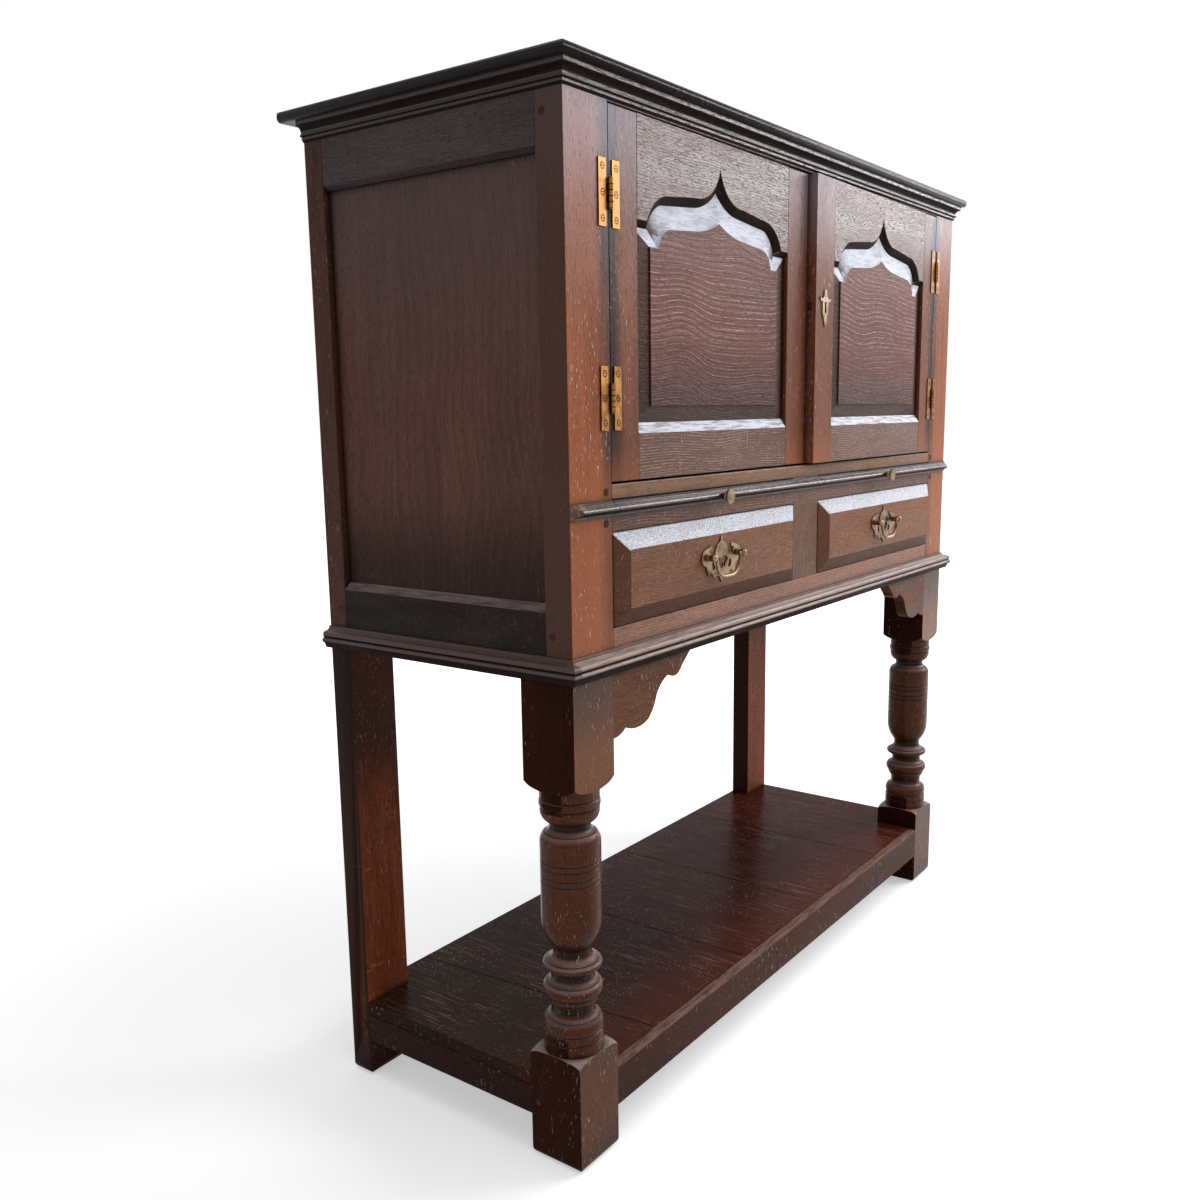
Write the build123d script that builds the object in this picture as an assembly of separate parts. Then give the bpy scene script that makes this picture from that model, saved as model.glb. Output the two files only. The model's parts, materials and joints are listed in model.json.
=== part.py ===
"""Oak court cupboard: a panelled case with two doors, two slides and two drawers on an open turned stand.

Millimetres. While the pieces are made, X is centred, Y 0 is the front face of the case, +Y is to the
rear and Z 0 is the floor. At export everything moves along Y so that the origin lies on the floor under
the middle of the whole piece.
"""
from build123d import *
import math
import os

# ---------------------------------------------------------------- case: widths and depths
case_width = 1220.0
case_depth = 432.0
front_stile_width = 84.0
front_stile_depth = 40.0
rear_stile_width = 60.0
rear_stile_depth = 34.0
centre_width = 85.0
side_rail_thickness = 26.0

# ---------------------------------------------------------------- case: heights, from the floor up
stand_height = 678.0
bottom_rail_height = 30.2
drawer_opening_height = 120.0
drawer_top_rail_height = 21.8
slide_opening_height = 17.5
sill_rail_height = 19.0
door_opening_height = 439.0
head_rail_height = 27.0
top_thickness = 14.0

# ---------------------------------------------------------------- top board
top_side_overhang = 21.0
top_front_overhang = 19.0
top_rear_overhang = 26.0
top_edge_radius = 6.0

# ---------------------------------------------------------------- joints of the frame
tenon_thickness = 10.0
tenon_length = 38.0
side_tenon_length = 22.0
tenon_shoulder = 4.0
muntin_tenon_length = 10.0
peg_diameter = 9.0
peg_depth = 30.0
side_peg_depth = 24.0
peg_proud = 0.5
side_peg_inset = 30.0
front_peg_inset = 12.0

# ---------------------------------------------------------------- sides
side_top_rail_height = 89.5
side_bottom_rail_height = 68.0
side_top_chamfer = 6.0
side_bottom_chamfer_height = 9.0
side_panel_recess = 11.0
side_panel_thickness = 10.0
panel_groove_depth = 8.0
panel_play = 1.0

# ---------------------------------------------------------------- mouldings (projections and drops)
cornice_height = 25.5
cornice_projection = 12.0
cornice_fillet = 5.0
cornice_quirk = 1.5
cornice_neck = 4.0
cornice_bead = 1.75
cornice_bead_drop = 15.6
cornice_foot = 3.0
waist_height = 19.0
waist_projection = 12.0
waist_fillet = 3.0
waist_nose_radius = 4.0
waist_nose_drop = 10.4
waist_above_slot = 0.5
base_projection = 16.5
# Outline of the base moulding, as (projection, height above the stand): fillet, torus, bead and cove.
# In every outline a pair of points is an arc's middle and end
base_outline = (
    (0.0, 4.5), (3.0, 4.5), (3.0, 1.5), (7.5, -1.5), ((14.5, -6.3), (13.0, -10.5)),
    ((16.5, -14.1), (13.0, -17.7)), ((11.0, -22.0), (10.0, -25.0)), (0.0, -25.0),
)

# ---------------------------------------------------------------- inside of the case
floor_thickness = 14.0
shelf_thickness = 14.0
shelf_height = 217.5
shelf_setback = 60.0
cleat_size = 18.0
inner_play = 0.5
back_board_thickness = 10.0
back_board_count = 6
back_board_gap = 0.6
back_rail_thickness = 20.0
back_top_rail_height = 40.5
back_bottom_rail_height = 42.0
back_tenon_length = 30.0
runner_thickness = 14.0
runner_width = 21.0
guide_height = 20.0

# ---------------------------------------------------------------- stand
leg_block = 82.0
leg_corner_z = 528.0
leg_corner_spare = 3.5
leg_body_radius = 39.5
leg_foot_z = 154.0
leg_groove_depth = 1.1
leg_groove_half = 0.9
leg_groove_z = (412.8, 404.8, 393.4, 385.2)
# Turning above and below the grooved body, as (radius, height) from the top down
leg_upper_turning = (
    ((55.0, 516.0), (46.0, 510.5)), (38.7, 507.0), (38.7, 496.2), (37.8, 494.8), (39.1, 493.4),
    ((39.8, 489.0), (39.0, 484.9)), (37.8, 483.6), (38.3, 482.4), ((36.2, 470.4), (28.8, 463.4)),
    (26.7, 462.6), (26.7, 459.2), ((28.4, 453.4), (33.2, 450.4)), (33.2, 449.4), (35.0, 449.0),
    ((38.4, 443.4), (39.5, 435.0)),
)
leg_lower_turning = (
    (39.5, 334.0), ((37.4, 316.5), (29.4, 300.0)), ((26.4, 295.0), (25.3, 291.0)),
    ((27.4, 281.6), (33.8, 277.0)), (33.8, 276.0), (35.4, 275.6), ((39.2, 270.6), (35.6, 266.0)),
    (34.2, 265.6), (34.2, 264.8), ((29.4, 262.6), (28.2, 259.0)), (28.2, 256.5),
    ((29.6, 250.4), (34.6, 247.0)), (34.6, 246.2), (36.0, 245.8), ((39.6, 237.0), (36.6, 230.2)),
    (35.2, 229.4), (35.7, 228.4), ((34.3, 223.6), (31.4, 219.4)), (31.4, 218.2), (29.2, 217.2),
    (29.2, 208.6), ((30.4, 202.6), (34.8, 199.6)), (34.8, 198.8), (36.2, 198.4),
    ((39.4, 190.5), (38.6, 182.1)), (37.4, 180.9), (38.8, 179.7), (39.5, 177.0), (39.5, 170.2),
    (38.4, 169.3), (39.5, 168.4),
)
# Shoulder of the foot's block, as (out from the body, down from its foot)
leg_shoulder_flat = (11.5, 1.8)
leg_shoulder_bend = (17.3, 5.4)
leg_shoulder_drop = 14.0
foot_wear = 11.0
# Wear on the inner corner of a rear foot, as (across from the edge, up)
rear_foot_wear = ((0.0, 0.0), (0.0, 24.0), ((11.0, 8.0), (32.0, 0.0)))
rear_leg_width = 80.0
rear_leg_depth = 38.0
stand_rail_height = 25.0
stand_rail_thickness = 24.0
bracket_thickness = 20.0
# Outline of a bracket, as (across from the leg, down from the rail): two cusped lobes
bracket_outline = (
    (0.0, 0.0), (0.0, 86.5), ((16.0, 84.0), (26.5, 78.0)), ((52.0, 84.0), (78.0, 78.5)),
    ((91.5, 64.0), (98.5, 49.5)), ((110.0, 36.5), (128.0, 27.5)), ((143.0, 32.5), (160.0, 22.0)),
    (186.0, 0.5), (186.0, 0.0),
)
potboard_top = 116.5
potboard_rail_height = 58.0
potboard_rail_thickness = 26.0
potboard_board_thickness = 18.0
potboard_rebate = 13.0
potboard_board_proud = 1.0
potboard_arris = 5.0
potboard_gap = 0.8
potboard_joints = ((-421.0, -456.0), (-162.0, -162.0), (91.0, 91.0), (350.0, 350.0))
notch_play = 0.5

# ---------------------------------------------------------------- doors
door_thickness = 22.0
door_side_gap = 0.6
door_meeting_gap = 1.6
door_bottom_gap = 2.5
door_top_gap = 1.5
door_hinge_stile_width = 59.4
door_meeting_stile_width = 65.2
door_bottom_rail_height = 71.0
door_bottom_chamfer = 12.7
door_shoulder_drop = 121.5
door_panel_recess = 8.0
door_tongue_thickness = 5.5
door_tenon_length = 36.0
door_tenon_thickness = 7.0
field_recess = 1.7
field_step = 2.0
field_side_margin = 31.0
field_bottom_margin = 20.0
left_door_ajar = 0.45
right_door_ajar = 1.18
# The arch at the face. Shoulder and lobe are in from the opening's sides, the sweep is out from its
# middle, and heights are up from the shoulders
arch_shoulder_inset = 21.0
arch_lobe_middle = (36.0, 20.5)
arch_lobe_end = (62.0, 34.5)
arch_sweep_start = (60.0, 43.0)
arch_sweep_middle = (19.0, 57.0)
arch_cusp_rise = 87.5
# The same arch where it meets the panel, behind the chamfer
throat_drop = 7.5
throat_shoulder_inset = 32.0
throat_lobe_middle = (44.5, 21.0)
throat_lobe_end = (62.5, 32.0)
throat_sweep_start = (55.0, 39.5)
throat_sweep_middle = (25.0, 48.0)
throat_cusp_rise = 65.0
# The raised field's own head, up from its shoulders
field_shoulder_drop = 28.5
field_shoulder_inset = 50.5
field_lobe_middle = (59.0, 17.0)
field_lobe_end = (79.0, 25.5)
field_sweep_start = (56.0, 31.0)
field_sweep_middle = (24.0, 37.5)
field_cusp_rise = 47.0

# ---------------------------------------------------------------- hinges
hinge_height = 76.0
hinge_from_end = 100.0
hinge_leaf_width = 14.5
hinge_leaf_gap = 12.6
hinge_leaf_thickness = 1.7
hinge_barrel_radius = 3.5
hinge_barrel_length = 33.0
hinge_pin_radius = 1.6
pin_head_radius = 2.8
hinge_running_clearance = 0.05
hinge_face_gap = 0.3
knuckle_gap = 0.3
knuckle_count = 5
screw_head_radius = 3.25
screw_shank_radius = 1.5
screw_length = 13.0
screw_slot_width = 0.8
screw_slot_depth = 0.6
screw_inset = 9.0

# ---------------------------------------------------------------- lock and escutcheon
lock_height = 240.0
escutcheon_thickness = 1.6
escutcheon_heart = 13.0
escutcheon_pin_heights = (16.8, -20.5)
# Right half of the escutcheon, as (across, up) from the middle of the keyhole
escutcheon_outline = (
    (0.9, -29.3), ((4.2, -21.1), (8.6, -12.3)), ((11.4, -7.6), (9.4, -1.8)), ((10.6, 5.4), (11.2, 10.3)),
    ((18.5, 10.8), (18.5, 15.1)), ((9.5, 13.5), (4.2, 20.5)), ((3.4, 25.4), (0.0, 27.0)),
)
keyhole_width = 6.0
keyhole_height = 18.0
escutcheon_pin_radius = 1.0
lock_case_width = 40.0
lock_case_height = 56.0
lock_case_front = 5.5
lock_case_back = 24.0
lock_wall = 1.5
lock_case_inset = 11.0
bolt_thickness = 6.5
bolt_height = 12.0
bolt_length = 40.0
bolt_setback = 0.6
bolt_play = 0.3
strike_depth = 11.0
strike_front = 2.2
strike_thickness = 12.0
strike_height = 24.0

# ---------------------------------------------------------------- slides
slide_depth = 300.0
slide_board_thickness = 15.0
slide_play = 0.4
slide_seat_gap = 0.3
slide_front_gap = 0.8
knob_collar_radius = 4.6
knob_collar_length = 2.0
knob_stem_radius = 3.0
knob_stem_length = 10.5
knob_bulb_radius = 5.8
knob_disc_radius = 10.5
knob_disc_length = 3.0
knob_spigot_radius = 2.5
knob_spigot_length = 18.0

# ---------------------------------------------------------------- drawers
drawer_side_gap = 1.2
drawer_top_gap = 1.5
drawer_seat_gap = 0.3
drawer_front_backing = 12.5
drawer_field_proud = 11.5
drawer_bevel = 22.0
drawer_side_thickness = 10.0
drawer_rear_gap = 12.0
drawer_lap = 6.0
drawer_back_thickness = 10.0
drawer_bottom_thickness = 6.0
drawer_bottom_lift = 7.5
drawer_groove_depth = 5.0

# ---------------------------------------------------------------- drawer handles
post_spacing = 80.0
post_above_centre = 7.4
plate_thickness = 1.6
# Right half of the plate, as (across, up) from between the posts: the tongue, the apron, the curled horn,
# the round wings (with a radius) and the openings
plate_tongue_outline = (
    (30.0, -8.0), (30.0, -1.5), ((24.0, 2.0), (17.0, 0.5)), ((15.5, 9.0), (10.5, 16.0)),
    ((5.0, 18.5), (1.7, 22.0)), ((2.3, 25.0), (0.0, 27.0)),
)
plate_apron_outline = (
    (49.0, -7.0), ((40.5, -14.0), (37.0, -23.5)), ((32.0, -26.5), (26.5, -22.0)),
    ((20.0, -28.5), (12.0, -27.5)), ((5.5, -30.0), (0.0, -38.0)),
)
plate_horn_outline = (
    (29.0, 14.8), ((36.0, 13.0), (42.0, 10.8)), (42.0, 0.0), (33.5, 0.0), ((34.8, 6.0), (31.0, 9.5)),
    (29.0, 14.8),
)
plate_wings = ((41.0, -0.5, 11.5), (29.0, 12.0, 3.0))
plate_piercings = (
    ((0.0, -5.2), ((3.4, -4.8), (5.6, -2.6)), (7.6, -4.0), ((10.5, -1.2), (13.5, -4.0)),
     ((16.2, -5.4), (17.0, -8.0)), ((11.5, -11.5), (9.6, -17.0)), (7.0, -18.0), (5.2, -12.6),
     (3.6, -17.0), (0.0, -18.6), (0.0, -5.2)),
    ((22.0, -7.0), ((26.5, -11.0), (24.5, -17.0)), ((19.5, -19.0), (18.5, -13.5)), (22.0, -7.0)),
)
post_shank_radius = 2.5
post_boss_radius = 4.5
post_boss_length = 7.0
post_ball_radius = 5.5
post_ball_seat = 4.4
post_end_proud = 0.5
nut_radius = 6.0
nut_thickness = 4.0
bail_rod_radius = 2.4
bail_pin_radius = 1.6
bail_running_clearance = 0.05
bail_half_width = 31.5
bail_drop = 28.5
bail_corner_radius = 24.0
bail_pin_length = 10.5
bail_end_play = 0.3
bail_elbow_radius = 2.6

# ---------------------------------------------------------------- derived places
half_width = case_width / 2
inner_x = half_width - front_stile_width
centre_x = centre_width / 2
bay_centre = (inner_x + centre_x) / 2
rear_inner_x = half_width - rear_stile_width
rear_stile_y = case_depth - rear_stile_depth
rail_inner_x = half_width - side_rail_thickness
panel_outer_x = half_width - side_panel_recess
panel_inner_x = panel_outer_x - side_panel_thickness
drawer_floor = stand_height + bottom_rail_height
drawer_ceiling = drawer_floor + drawer_opening_height
slide_floor = drawer_ceiling + drawer_top_rail_height
slide_ceiling = slide_floor + slide_opening_height
door_floor = slide_ceiling + sill_rail_height
door_ceiling = door_floor + door_opening_height
case_top = door_ceiling + head_rail_height
back_boards_y = case_depth - back_board_thickness
back_rails_y = back_boards_y - back_rail_thickness
floor_underside = door_floor - floor_thickness
shelf_top = door_floor + shelf_height

door_bottom = door_floor + door_bottom_gap
door_top = door_ceiling - door_top_gap
door_outer_x = inner_x - door_side_gap
door_inner_x = door_meeting_gap / 2
door_opening_left = door_outer_x - door_hinge_stile_width
door_opening_right = door_inner_x + door_meeting_stile_width
door_opening_centre = (door_opening_left + door_opening_right) / 2
door_opening_half = (door_opening_left - door_opening_right) / 2
door_opening_bottom = door_bottom + door_bottom_rail_height
door_shoulder_z = door_top - door_shoulder_drop
field_shoulder_z = door_shoulder_z - field_shoulder_drop
tongue_back = door_panel_recess + door_tongue_thickness
hinge_y = -hinge_barrel_radius - hinge_face_gap
hinge_places = (door_bottom + hinge_from_end, door_top - hinge_from_end)
lock_z = door_floor + lock_height + door_bottom_gap
lock_x = door_inner_x + door_meeting_stile_width / 2
escutcheon_pin_end = lock_case_front - bolt_play

leg_axis_x = half_width - leg_block / 2
leg_axis_y = leg_block / 2
leg_inner_x = half_width - leg_block
rear_leg_inner_x = half_width - rear_leg_width
rear_leg_y = case_depth - rear_leg_depth
stand_rail_z = stand_height - stand_rail_height
potboard_rail_z = potboard_top - potboard_rail_height
board_top = potboard_top + potboard_board_proud
board_bottom = board_top - potboard_board_thickness

drawer_outer_x = inner_x - drawer_side_gap
drawer_inner_x = centre_x + drawer_side_gap
drawer_length = back_rails_y - drawer_rear_gap
drawer_bottom_z = drawer_floor + drawer_seat_gap
drawer_top_z = drawer_ceiling - drawer_top_gap
handle_z = (drawer_bottom_z + drawer_top_z) / 2 + post_above_centre
plate_y = -drawer_field_proud - plate_thickness
ball_y = plate_y - post_boss_length - post_ball_seat
bail_inner_radius = bail_pin_radius + bail_running_clearance

slide_outer_x = inner_x - slide_play
slide_inner_x = centre_x + slide_play
slide_board_z = slide_floor + slide_seat_gap
waist_top = slide_ceiling - waist_above_slot
waist_middle = waist_top - waist_nose_drop
knob_reach = slide_seat_gap + waist_projection + knob_collar_length + knob_stem_length + knob_disc_length

front_reach = max(-ball_y + post_ball_radius, knob_reach, top_front_overhang)
rear_reach = case_depth + top_rear_overhang
front_y = (front_reach - rear_reach) / 2

mitre_reach = 4 * base_projection


# ---------------------------------------------------------------- helpers
def block(x0, x1, y0, y1, z0, z1):
    """A box between two corners."""
    return Pos((x0 + x1) / 2, (y0 + y1) / 2, (z0 + z1) / 2) * Box(x1 - x0, y1 - y0, z1 - z0)


def rod(start, end, radius):
    """A straight round bar between two points."""
    along = Vector(*end) - Vector(*start)
    return Solid.make_cylinder(radius, along.length, Plane(origin=start, z_dir=along))


def front_plane(y):
    """Outlines given as (x, z) at depth y."""
    return lambda x, z: (x, y, z)


def floor_plane(z):
    """Outlines given as (x, y) at height z."""
    return lambda x, y: (x, y, z)


def edge(place, last, step):
    """One edge of an outline, and where it ends. A pair of points is an arc through the first one."""
    if isinstance(step[0], tuple):
        middle, end = step
        return ThreePointArc(place(*last), place(*middle), place(*end)), end
    return Line(place(*last), place(*step)), step


def outline(place, points):
    """A closed face from a start point and its steps."""
    edges = []
    last = points[0]
    for step in points[1:]:
        made, last = edge(place, last, step)
        edges.append(made)
    if last != points[0]:
        edges.append(Line(place(*last), place(*points[0])))
    return make_face(edges)


def mirrored_outline(place, centre, half):
    """A closed face from the right half of its outline, which ends on the centre line."""
    edges = []
    for side in (1, -1):
        def placed(across, up, side=side):
            return place(centre + side * across, up)
        last = half[0]
        for step in half[1:]:
            made, last = edge(placed, last, step)
            edges.append(made)
    edges.append(Line(place(centre - half[0][0], half[0][1]), place(centre + half[0][0], half[0][1])))
    return make_face(edges)


def mirror_x(shape):
    """The same piece on the other side of the middle."""
    return mirror(shape, Plane.YZ)


def both_sides(*shapes):
    """Each piece and its mirror image."""
    return list(shapes) + [mirror_x(shape) for shape in shapes]


def cut(shape, tools):
    """A piece with every tool taken away."""
    for tool in tools:
        shape = shape - tool
    return shape


def arch_half(base, side, shoulder, shoulder_z, middle, end, start, sweep, cusp):
    """Right half of a door-head outline: side, shoulder, convex lobe, sweep and pointed cusp."""
    wide = door_opening_half
    return [
        (side, base),
        (side, shoulder_z),
        (wide - shoulder, shoulder_z),
        ((wide - middle[0], shoulder_z + middle[1]), (wide - end[0], shoulder_z + end[1])),
        (start[0], shoulder_z + start[1]),
        ((sweep[0], shoulder_z + sweep[1]), (0.0, shoulder_z + cusp)),
    ]


# ---------------------------------------------------------------- frame joints shared by two pieces
def mid_tenon_y():
    """Front and back of the tenons of the front rails."""
    front = (front_stile_depth - tenon_thickness) / 2
    return front, front + tenon_thickness


def front_rail_tenon(z0, z1):
    """Left tenon of a rail between the front stiles."""
    y0, y1 = mid_tenon_y()
    return block(-inner_x - tenon_length, -inner_x, y0, y1, z0 + tenon_shoulder, z1 - tenon_shoulder)


def front_rail_spans():
    """Bottom and top of each rail between the front stiles."""
    return {
        "bottom": (stand_height, drawer_floor),
        "drawer_top": (drawer_ceiling, slide_floor),
        "sill": (slide_ceiling, door_floor),
        "head": (door_ceiling, case_top),
    }


def side_rail_spans():
    """Bottom and top of the two rails of each side."""
    return (
        (stand_height, stand_height + side_bottom_rail_height),
        (case_top - side_top_rail_height, case_top),
    )


def side_tenons():
    """Front and rear tenons of the left side rails, clear of the panel's groove."""
    x1 = -rail_inner_x - (side_rail_thickness - tenon_thickness) / 2
    x0 = x1 - tenon_thickness
    low, high = side_rail_spans()
    spans = (
        (low[0] + tenon_shoulder, low[1] - panel_groove_depth - tenon_shoulder),
        (high[0] + panel_groove_depth + tenon_shoulder, high[1] - tenon_shoulder),
    )
    ends = (
        (front_stile_depth - side_tenon_length, front_stile_depth),
        (rear_stile_y, rear_stile_y + side_tenon_length),
    )
    return [[block(x0, x1, y0, y1, z0, z1) for y0, y1 in ends] for z0, z1 in spans]


def side_panel_groove():
    """The space that the left side panel's edges run in."""
    low, high = side_rail_spans()
    return block(
        -panel_outer_x, -panel_inner_x,
        front_stile_depth - panel_groove_depth, rear_stile_y + panel_groove_depth,
        low[1] - panel_groove_depth, high[0] + panel_groove_depth)


def muntin_tenon(z0, z1):
    """A short tenon of the drawer muntin."""
    y0, y1 = mid_tenon_y()
    return block(-centre_x + tenon_shoulder, centre_x - tenon_shoulder, y0, y1, z0, z1)


def back_tenon(z0, z1):
    """Left tenon of a back rail."""
    y0 = back_rails_y + (back_rail_thickness - tenon_thickness) / 2
    return block(-rear_inner_x - back_tenon_length, -rear_inner_x, y0, y0 + tenon_thickness,
                 z0 + tenon_shoulder, z1 - tenon_shoulder)


def back_rail_spans():
    """Bottom and top of the two back rails."""
    return (
        (stand_height, stand_height + back_bottom_rail_height),
        (case_top - back_top_rail_height, case_top),
    )


def potboard_front_tenon():
    """Left tenon of the potboard's front rail."""
    y0 = (potboard_rebate - tenon_thickness) / 2
    return block(-leg_inner_x - tenon_length, -leg_inner_x, y0, y0 + tenon_thickness,
                 potboard_rail_z + tenon_shoulder, board_bottom - tenon_shoulder)


def potboard_rear_tenon():
    """Left tenon of the potboard's rear rail."""
    y1 = case_depth - (potboard_rail_thickness - tenon_thickness) / 2
    return block(-rear_leg_inner_x - back_tenon_length, -rear_leg_inner_x, y1 - tenon_thickness, y1,
                 potboard_rail_z + tenon_shoulder, board_bottom - tenon_shoulder)


def stand_side_tenons(z0, z1, thickness):
    """Front and rear tenons of a left side rail of the stand."""
    x0 = -half_width + (thickness - tenon_thickness) / 2
    x1 = x0 + tenon_thickness
    return [
        block(x0, x1, leg_block - side_tenon_length, leg_block, z0 + tenon_shoulder, z1 - tenon_shoulder),
        block(x0, x1, rear_leg_y, rear_leg_y + side_tenon_length, z0 + tenon_shoulder, z1 - tenon_shoulder),
    ]


def stand_front_tenon():
    """Left tenon of the stand's front top rail."""
    y0 = (stand_rail_thickness - tenon_thickness) / 2
    return block(-leg_inner_x - tenon_length, -leg_inner_x, y0, y0 + tenon_thickness,
                 stand_rail_z + tenon_shoulder, stand_height - tenon_shoulder)


def stand_rear_tenon():
    """Left tenon of the stand's rear top rail."""
    y1 = case_depth - (stand_rail_thickness - tenon_thickness) / 2
    return block(-rear_leg_inner_x - back_tenon_length, -rear_leg_inner_x, y1 - tenon_thickness, y1,
                 stand_rail_z + tenon_shoulder, stand_height - tenon_shoulder)


# ---------------------------------------------------------------- pegs
def front_pegs():
    """Left pegs through the front stile into the rails above and below the slides."""
    spans = front_rail_spans()
    x = -inner_x - front_peg_inset
    heights = [sum(spans[name]) / 2 + lift for name, lift in (("sill", peg_proud), ("drawer_top", 0.0))]
    return [rod((x, -peg_proud, z), (x, peg_depth, z), peg_diameter / 2) for z in heights]


def side_pegs():
    """Left pegs through the stiles and the stand's legs into the side rails."""
    low, high = side_rail_spans()
    low_z = low[0] + (side_bottom_rail_height - panel_groove_depth) / 2 - peg_proud
    high_z = high[0] + (side_top_rail_height - panel_groove_depth) / 2 + peg_proud
    board_z = (potboard_rail_z + board_bottom) / 2
    places = []
    for z in (low_z, high_z):
        places.append((side_peg_inset, z))
        places.append((rear_stile_y + front_peg_inset, z))
    places.append((leg_block - front_peg_inset, board_z))
    places.append((rear_leg_y + front_peg_inset, board_z))
    outer = -half_width - peg_proud
    return [rod((outer, y, z), (outer + side_peg_depth, y, z), peg_diameter / 2) for y, z in places]


# ---------------------------------------------------------------- case
def top_board():
    """The top, with a rounded edge at the front and ends."""
    slab = block(-half_width - top_side_overhang, half_width + top_side_overhang,
                 -top_front_overhang, rear_reach, case_top, case_top + top_thickness)
    ends = slab.edges().filter_by(Axis.Y)
    front = slab.edges().filter_by(Axis.X).sort_by(Axis.Y)[:2]
    return fillet(list(ends) + list(front), top_edge_radius)


def front_stile():
    """Left front stile with its mortises, groove and drilled holes."""
    stile = block(-half_width, -inner_x, 0, front_stile_depth, stand_height, case_top)
    mortises = [front_rail_tenon(*span) for span in front_rail_spans().values()]
    mortises += [tenons[0] for tenons in side_tenons()]
    mortises.append(side_panel_groove())
    mortises += front_pegs() + side_pegs()
    mortises += [rod(*place, screw_shank_radius) for place in case_screw_places()]
    return cut(stile, mortises)


def rear_stile():
    """Left rear stile."""
    stile = block(-half_width, -rear_inner_x, rear_stile_y, case_depth, stand_height, case_top)
    mortises = [tenons[1] for tenons in side_tenons()]
    mortises += [back_tenon(*span) for span in back_rail_spans()]
    mortises.append(side_panel_groove())
    return cut(stile, mortises + side_pegs())


def side_rails():
    """Left bottom and top rails of the side, chamfered towards the panel."""
    low, high = side_rail_spans()
    tenons = side_tenons()
    rails = []
    for span, ends in ((low, tenons[0]), (high, tenons[1])):
        rail = block(-half_width, -rail_inner_x, front_stile_depth, rear_stile_y, *span)
        rails.append(cut(rail + ends[0] + ends[1], [side_panel_groove()] + side_pegs()))
    length = rear_stile_y - front_stile_depth
    place = lambda x, z: (x, front_stile_depth, z)
    bottom_chamfer = outline(place, [
        (-half_width, low[1] - side_bottom_chamfer_height),
        (-half_width, low[1]),
        (-panel_outer_x, low[1])])
    top_chamfer = outline(place, [
        (-half_width, high[0] + side_top_chamfer),
        (-half_width, high[0]),
        (-half_width + side_top_chamfer, high[0])])
    rails[0] = rails[0] - extrude(bottom_chamfer, amount=length, dir=(0, 1, 0))
    rails[1] = rails[1] - extrude(top_chamfer, amount=length, dir=(0, 1, 0))
    return rails


def side_panel():
    """Left side panel, free to move a little in its grooves."""
    reach = panel_groove_depth - panel_play
    low, high = side_rail_spans()
    return block(-panel_outer_x, -panel_inner_x, front_stile_depth - reach, rear_stile_y + reach,
                 low[1] - reach, high[0] + reach)


def front_rail(name):
    """A rail between the front stiles with a tenon at each end."""
    span = front_rail_spans()[name]
    rail = block(-inner_x, inner_x, 0, front_stile_depth, *span)
    tenon = front_rail_tenon(*span)
    return cut(rail + tenon + mirror_x(tenon), both_sides(*front_pegs()))


def drawer_bottom_rail():
    """Bottom rail of the case, mortised for the muntin."""
    return front_rail("bottom") - muntin_tenon(drawer_floor - muntin_tenon_length, drawer_floor)


def drawer_top_rail():
    """Rail over the drawers, mortised for the muntin."""
    return front_rail("drawer_top") - muntin_tenon(drawer_ceiling, drawer_ceiling + muntin_tenon_length)


def drawer_muntin():
    """Upright between the two drawers."""
    post = block(-centre_x, centre_x, 0, front_stile_depth, drawer_floor, drawer_ceiling)
    return post + muntin_tenon(drawer_floor - muntin_tenon_length, drawer_ceiling + muntin_tenon_length)


def slide_divider():
    """Short block between the two slides."""
    return block(-centre_x, centre_x, 0, front_stile_depth, slide_floor, slide_ceiling)


# ---------------------------------------------------------------- mouldings
def moulding_run(profile, x0, x1):
    """A moulding along the front. The profile is (projection, height)."""
    face = outline(lambda out, z: (x0, -out, z), profile)
    return extrude(face, amount=x1 - x0, dir=(1, 0, 0))


def mitre_wedge(outwards):
    """A wedge at the left front corner that leaves a front run or a return with a mitre."""
    height = case_top - stand_rail_z
    end = (-half_width - mitre_reach, 0.0) if outwards else (-half_width, -mitre_reach)
    corner = (-half_width - mitre_reach, -mitre_reach)
    face = outline(floor_plane(stand_rail_z), [(-half_width, 0.0), end, corner])
    return extrude(face, amount=height, dir=(0, 0, 1))


def mitred_moulding(profile, projection):
    """Front run and two returns to the rear, mitred at the front corners."""
    front = moulding_run(profile, -half_width - projection, half_width + projection)
    wedge = mitre_wedge(True)
    front = cut(front, [wedge, mirror_x(wedge)])
    place = lambda out, z: (-half_width - out, case_depth, z)
    side = extrude(outline(place, profile), amount=case_depth + projection, dir=(0, -1, 0))
    side = side - mitre_wedge(False)
    return [front, side, mirror_x(side)]


def cornice_profile():
    """Fillet, quirk, cove, bead and foot, hung from the underside of the top."""
    top = case_top
    cove_top = top - cornice_fillet - cornice_quirk
    bead_top = top - cornice_bead_drop
    bead_low = bead_top - 2 * cornice_bead
    cove_out = cornice_projection - cornice_quirk
    return [
        (0.0, top),
        (cornice_projection, top),
        (cornice_projection, top - cornice_fillet),
        (cove_out, cove_top),
        ((cornice_neck + cornice_quirk, (cove_top + bead_top) / 2 + cornice_quirk), (cornice_neck, bead_top)),
        ((cornice_neck + cornice_bead, bead_top - cornice_bead), (cornice_neck, bead_low)),
        (cornice_foot, bead_low),
        (cornice_foot, top - cornice_height + cornice_foot),
        (0.0, top - cornice_height),
    ]


def base_profile():
    """The base moulding, planted on the stand and lapping the case."""
    profile = []
    for step in base_outline:
        if isinstance(step[0], tuple):
            profile.append(tuple((out, stand_height + up) for out, up in step))
        else:
            profile.append((step[0], stand_height + step[1]))
    return profile


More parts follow.
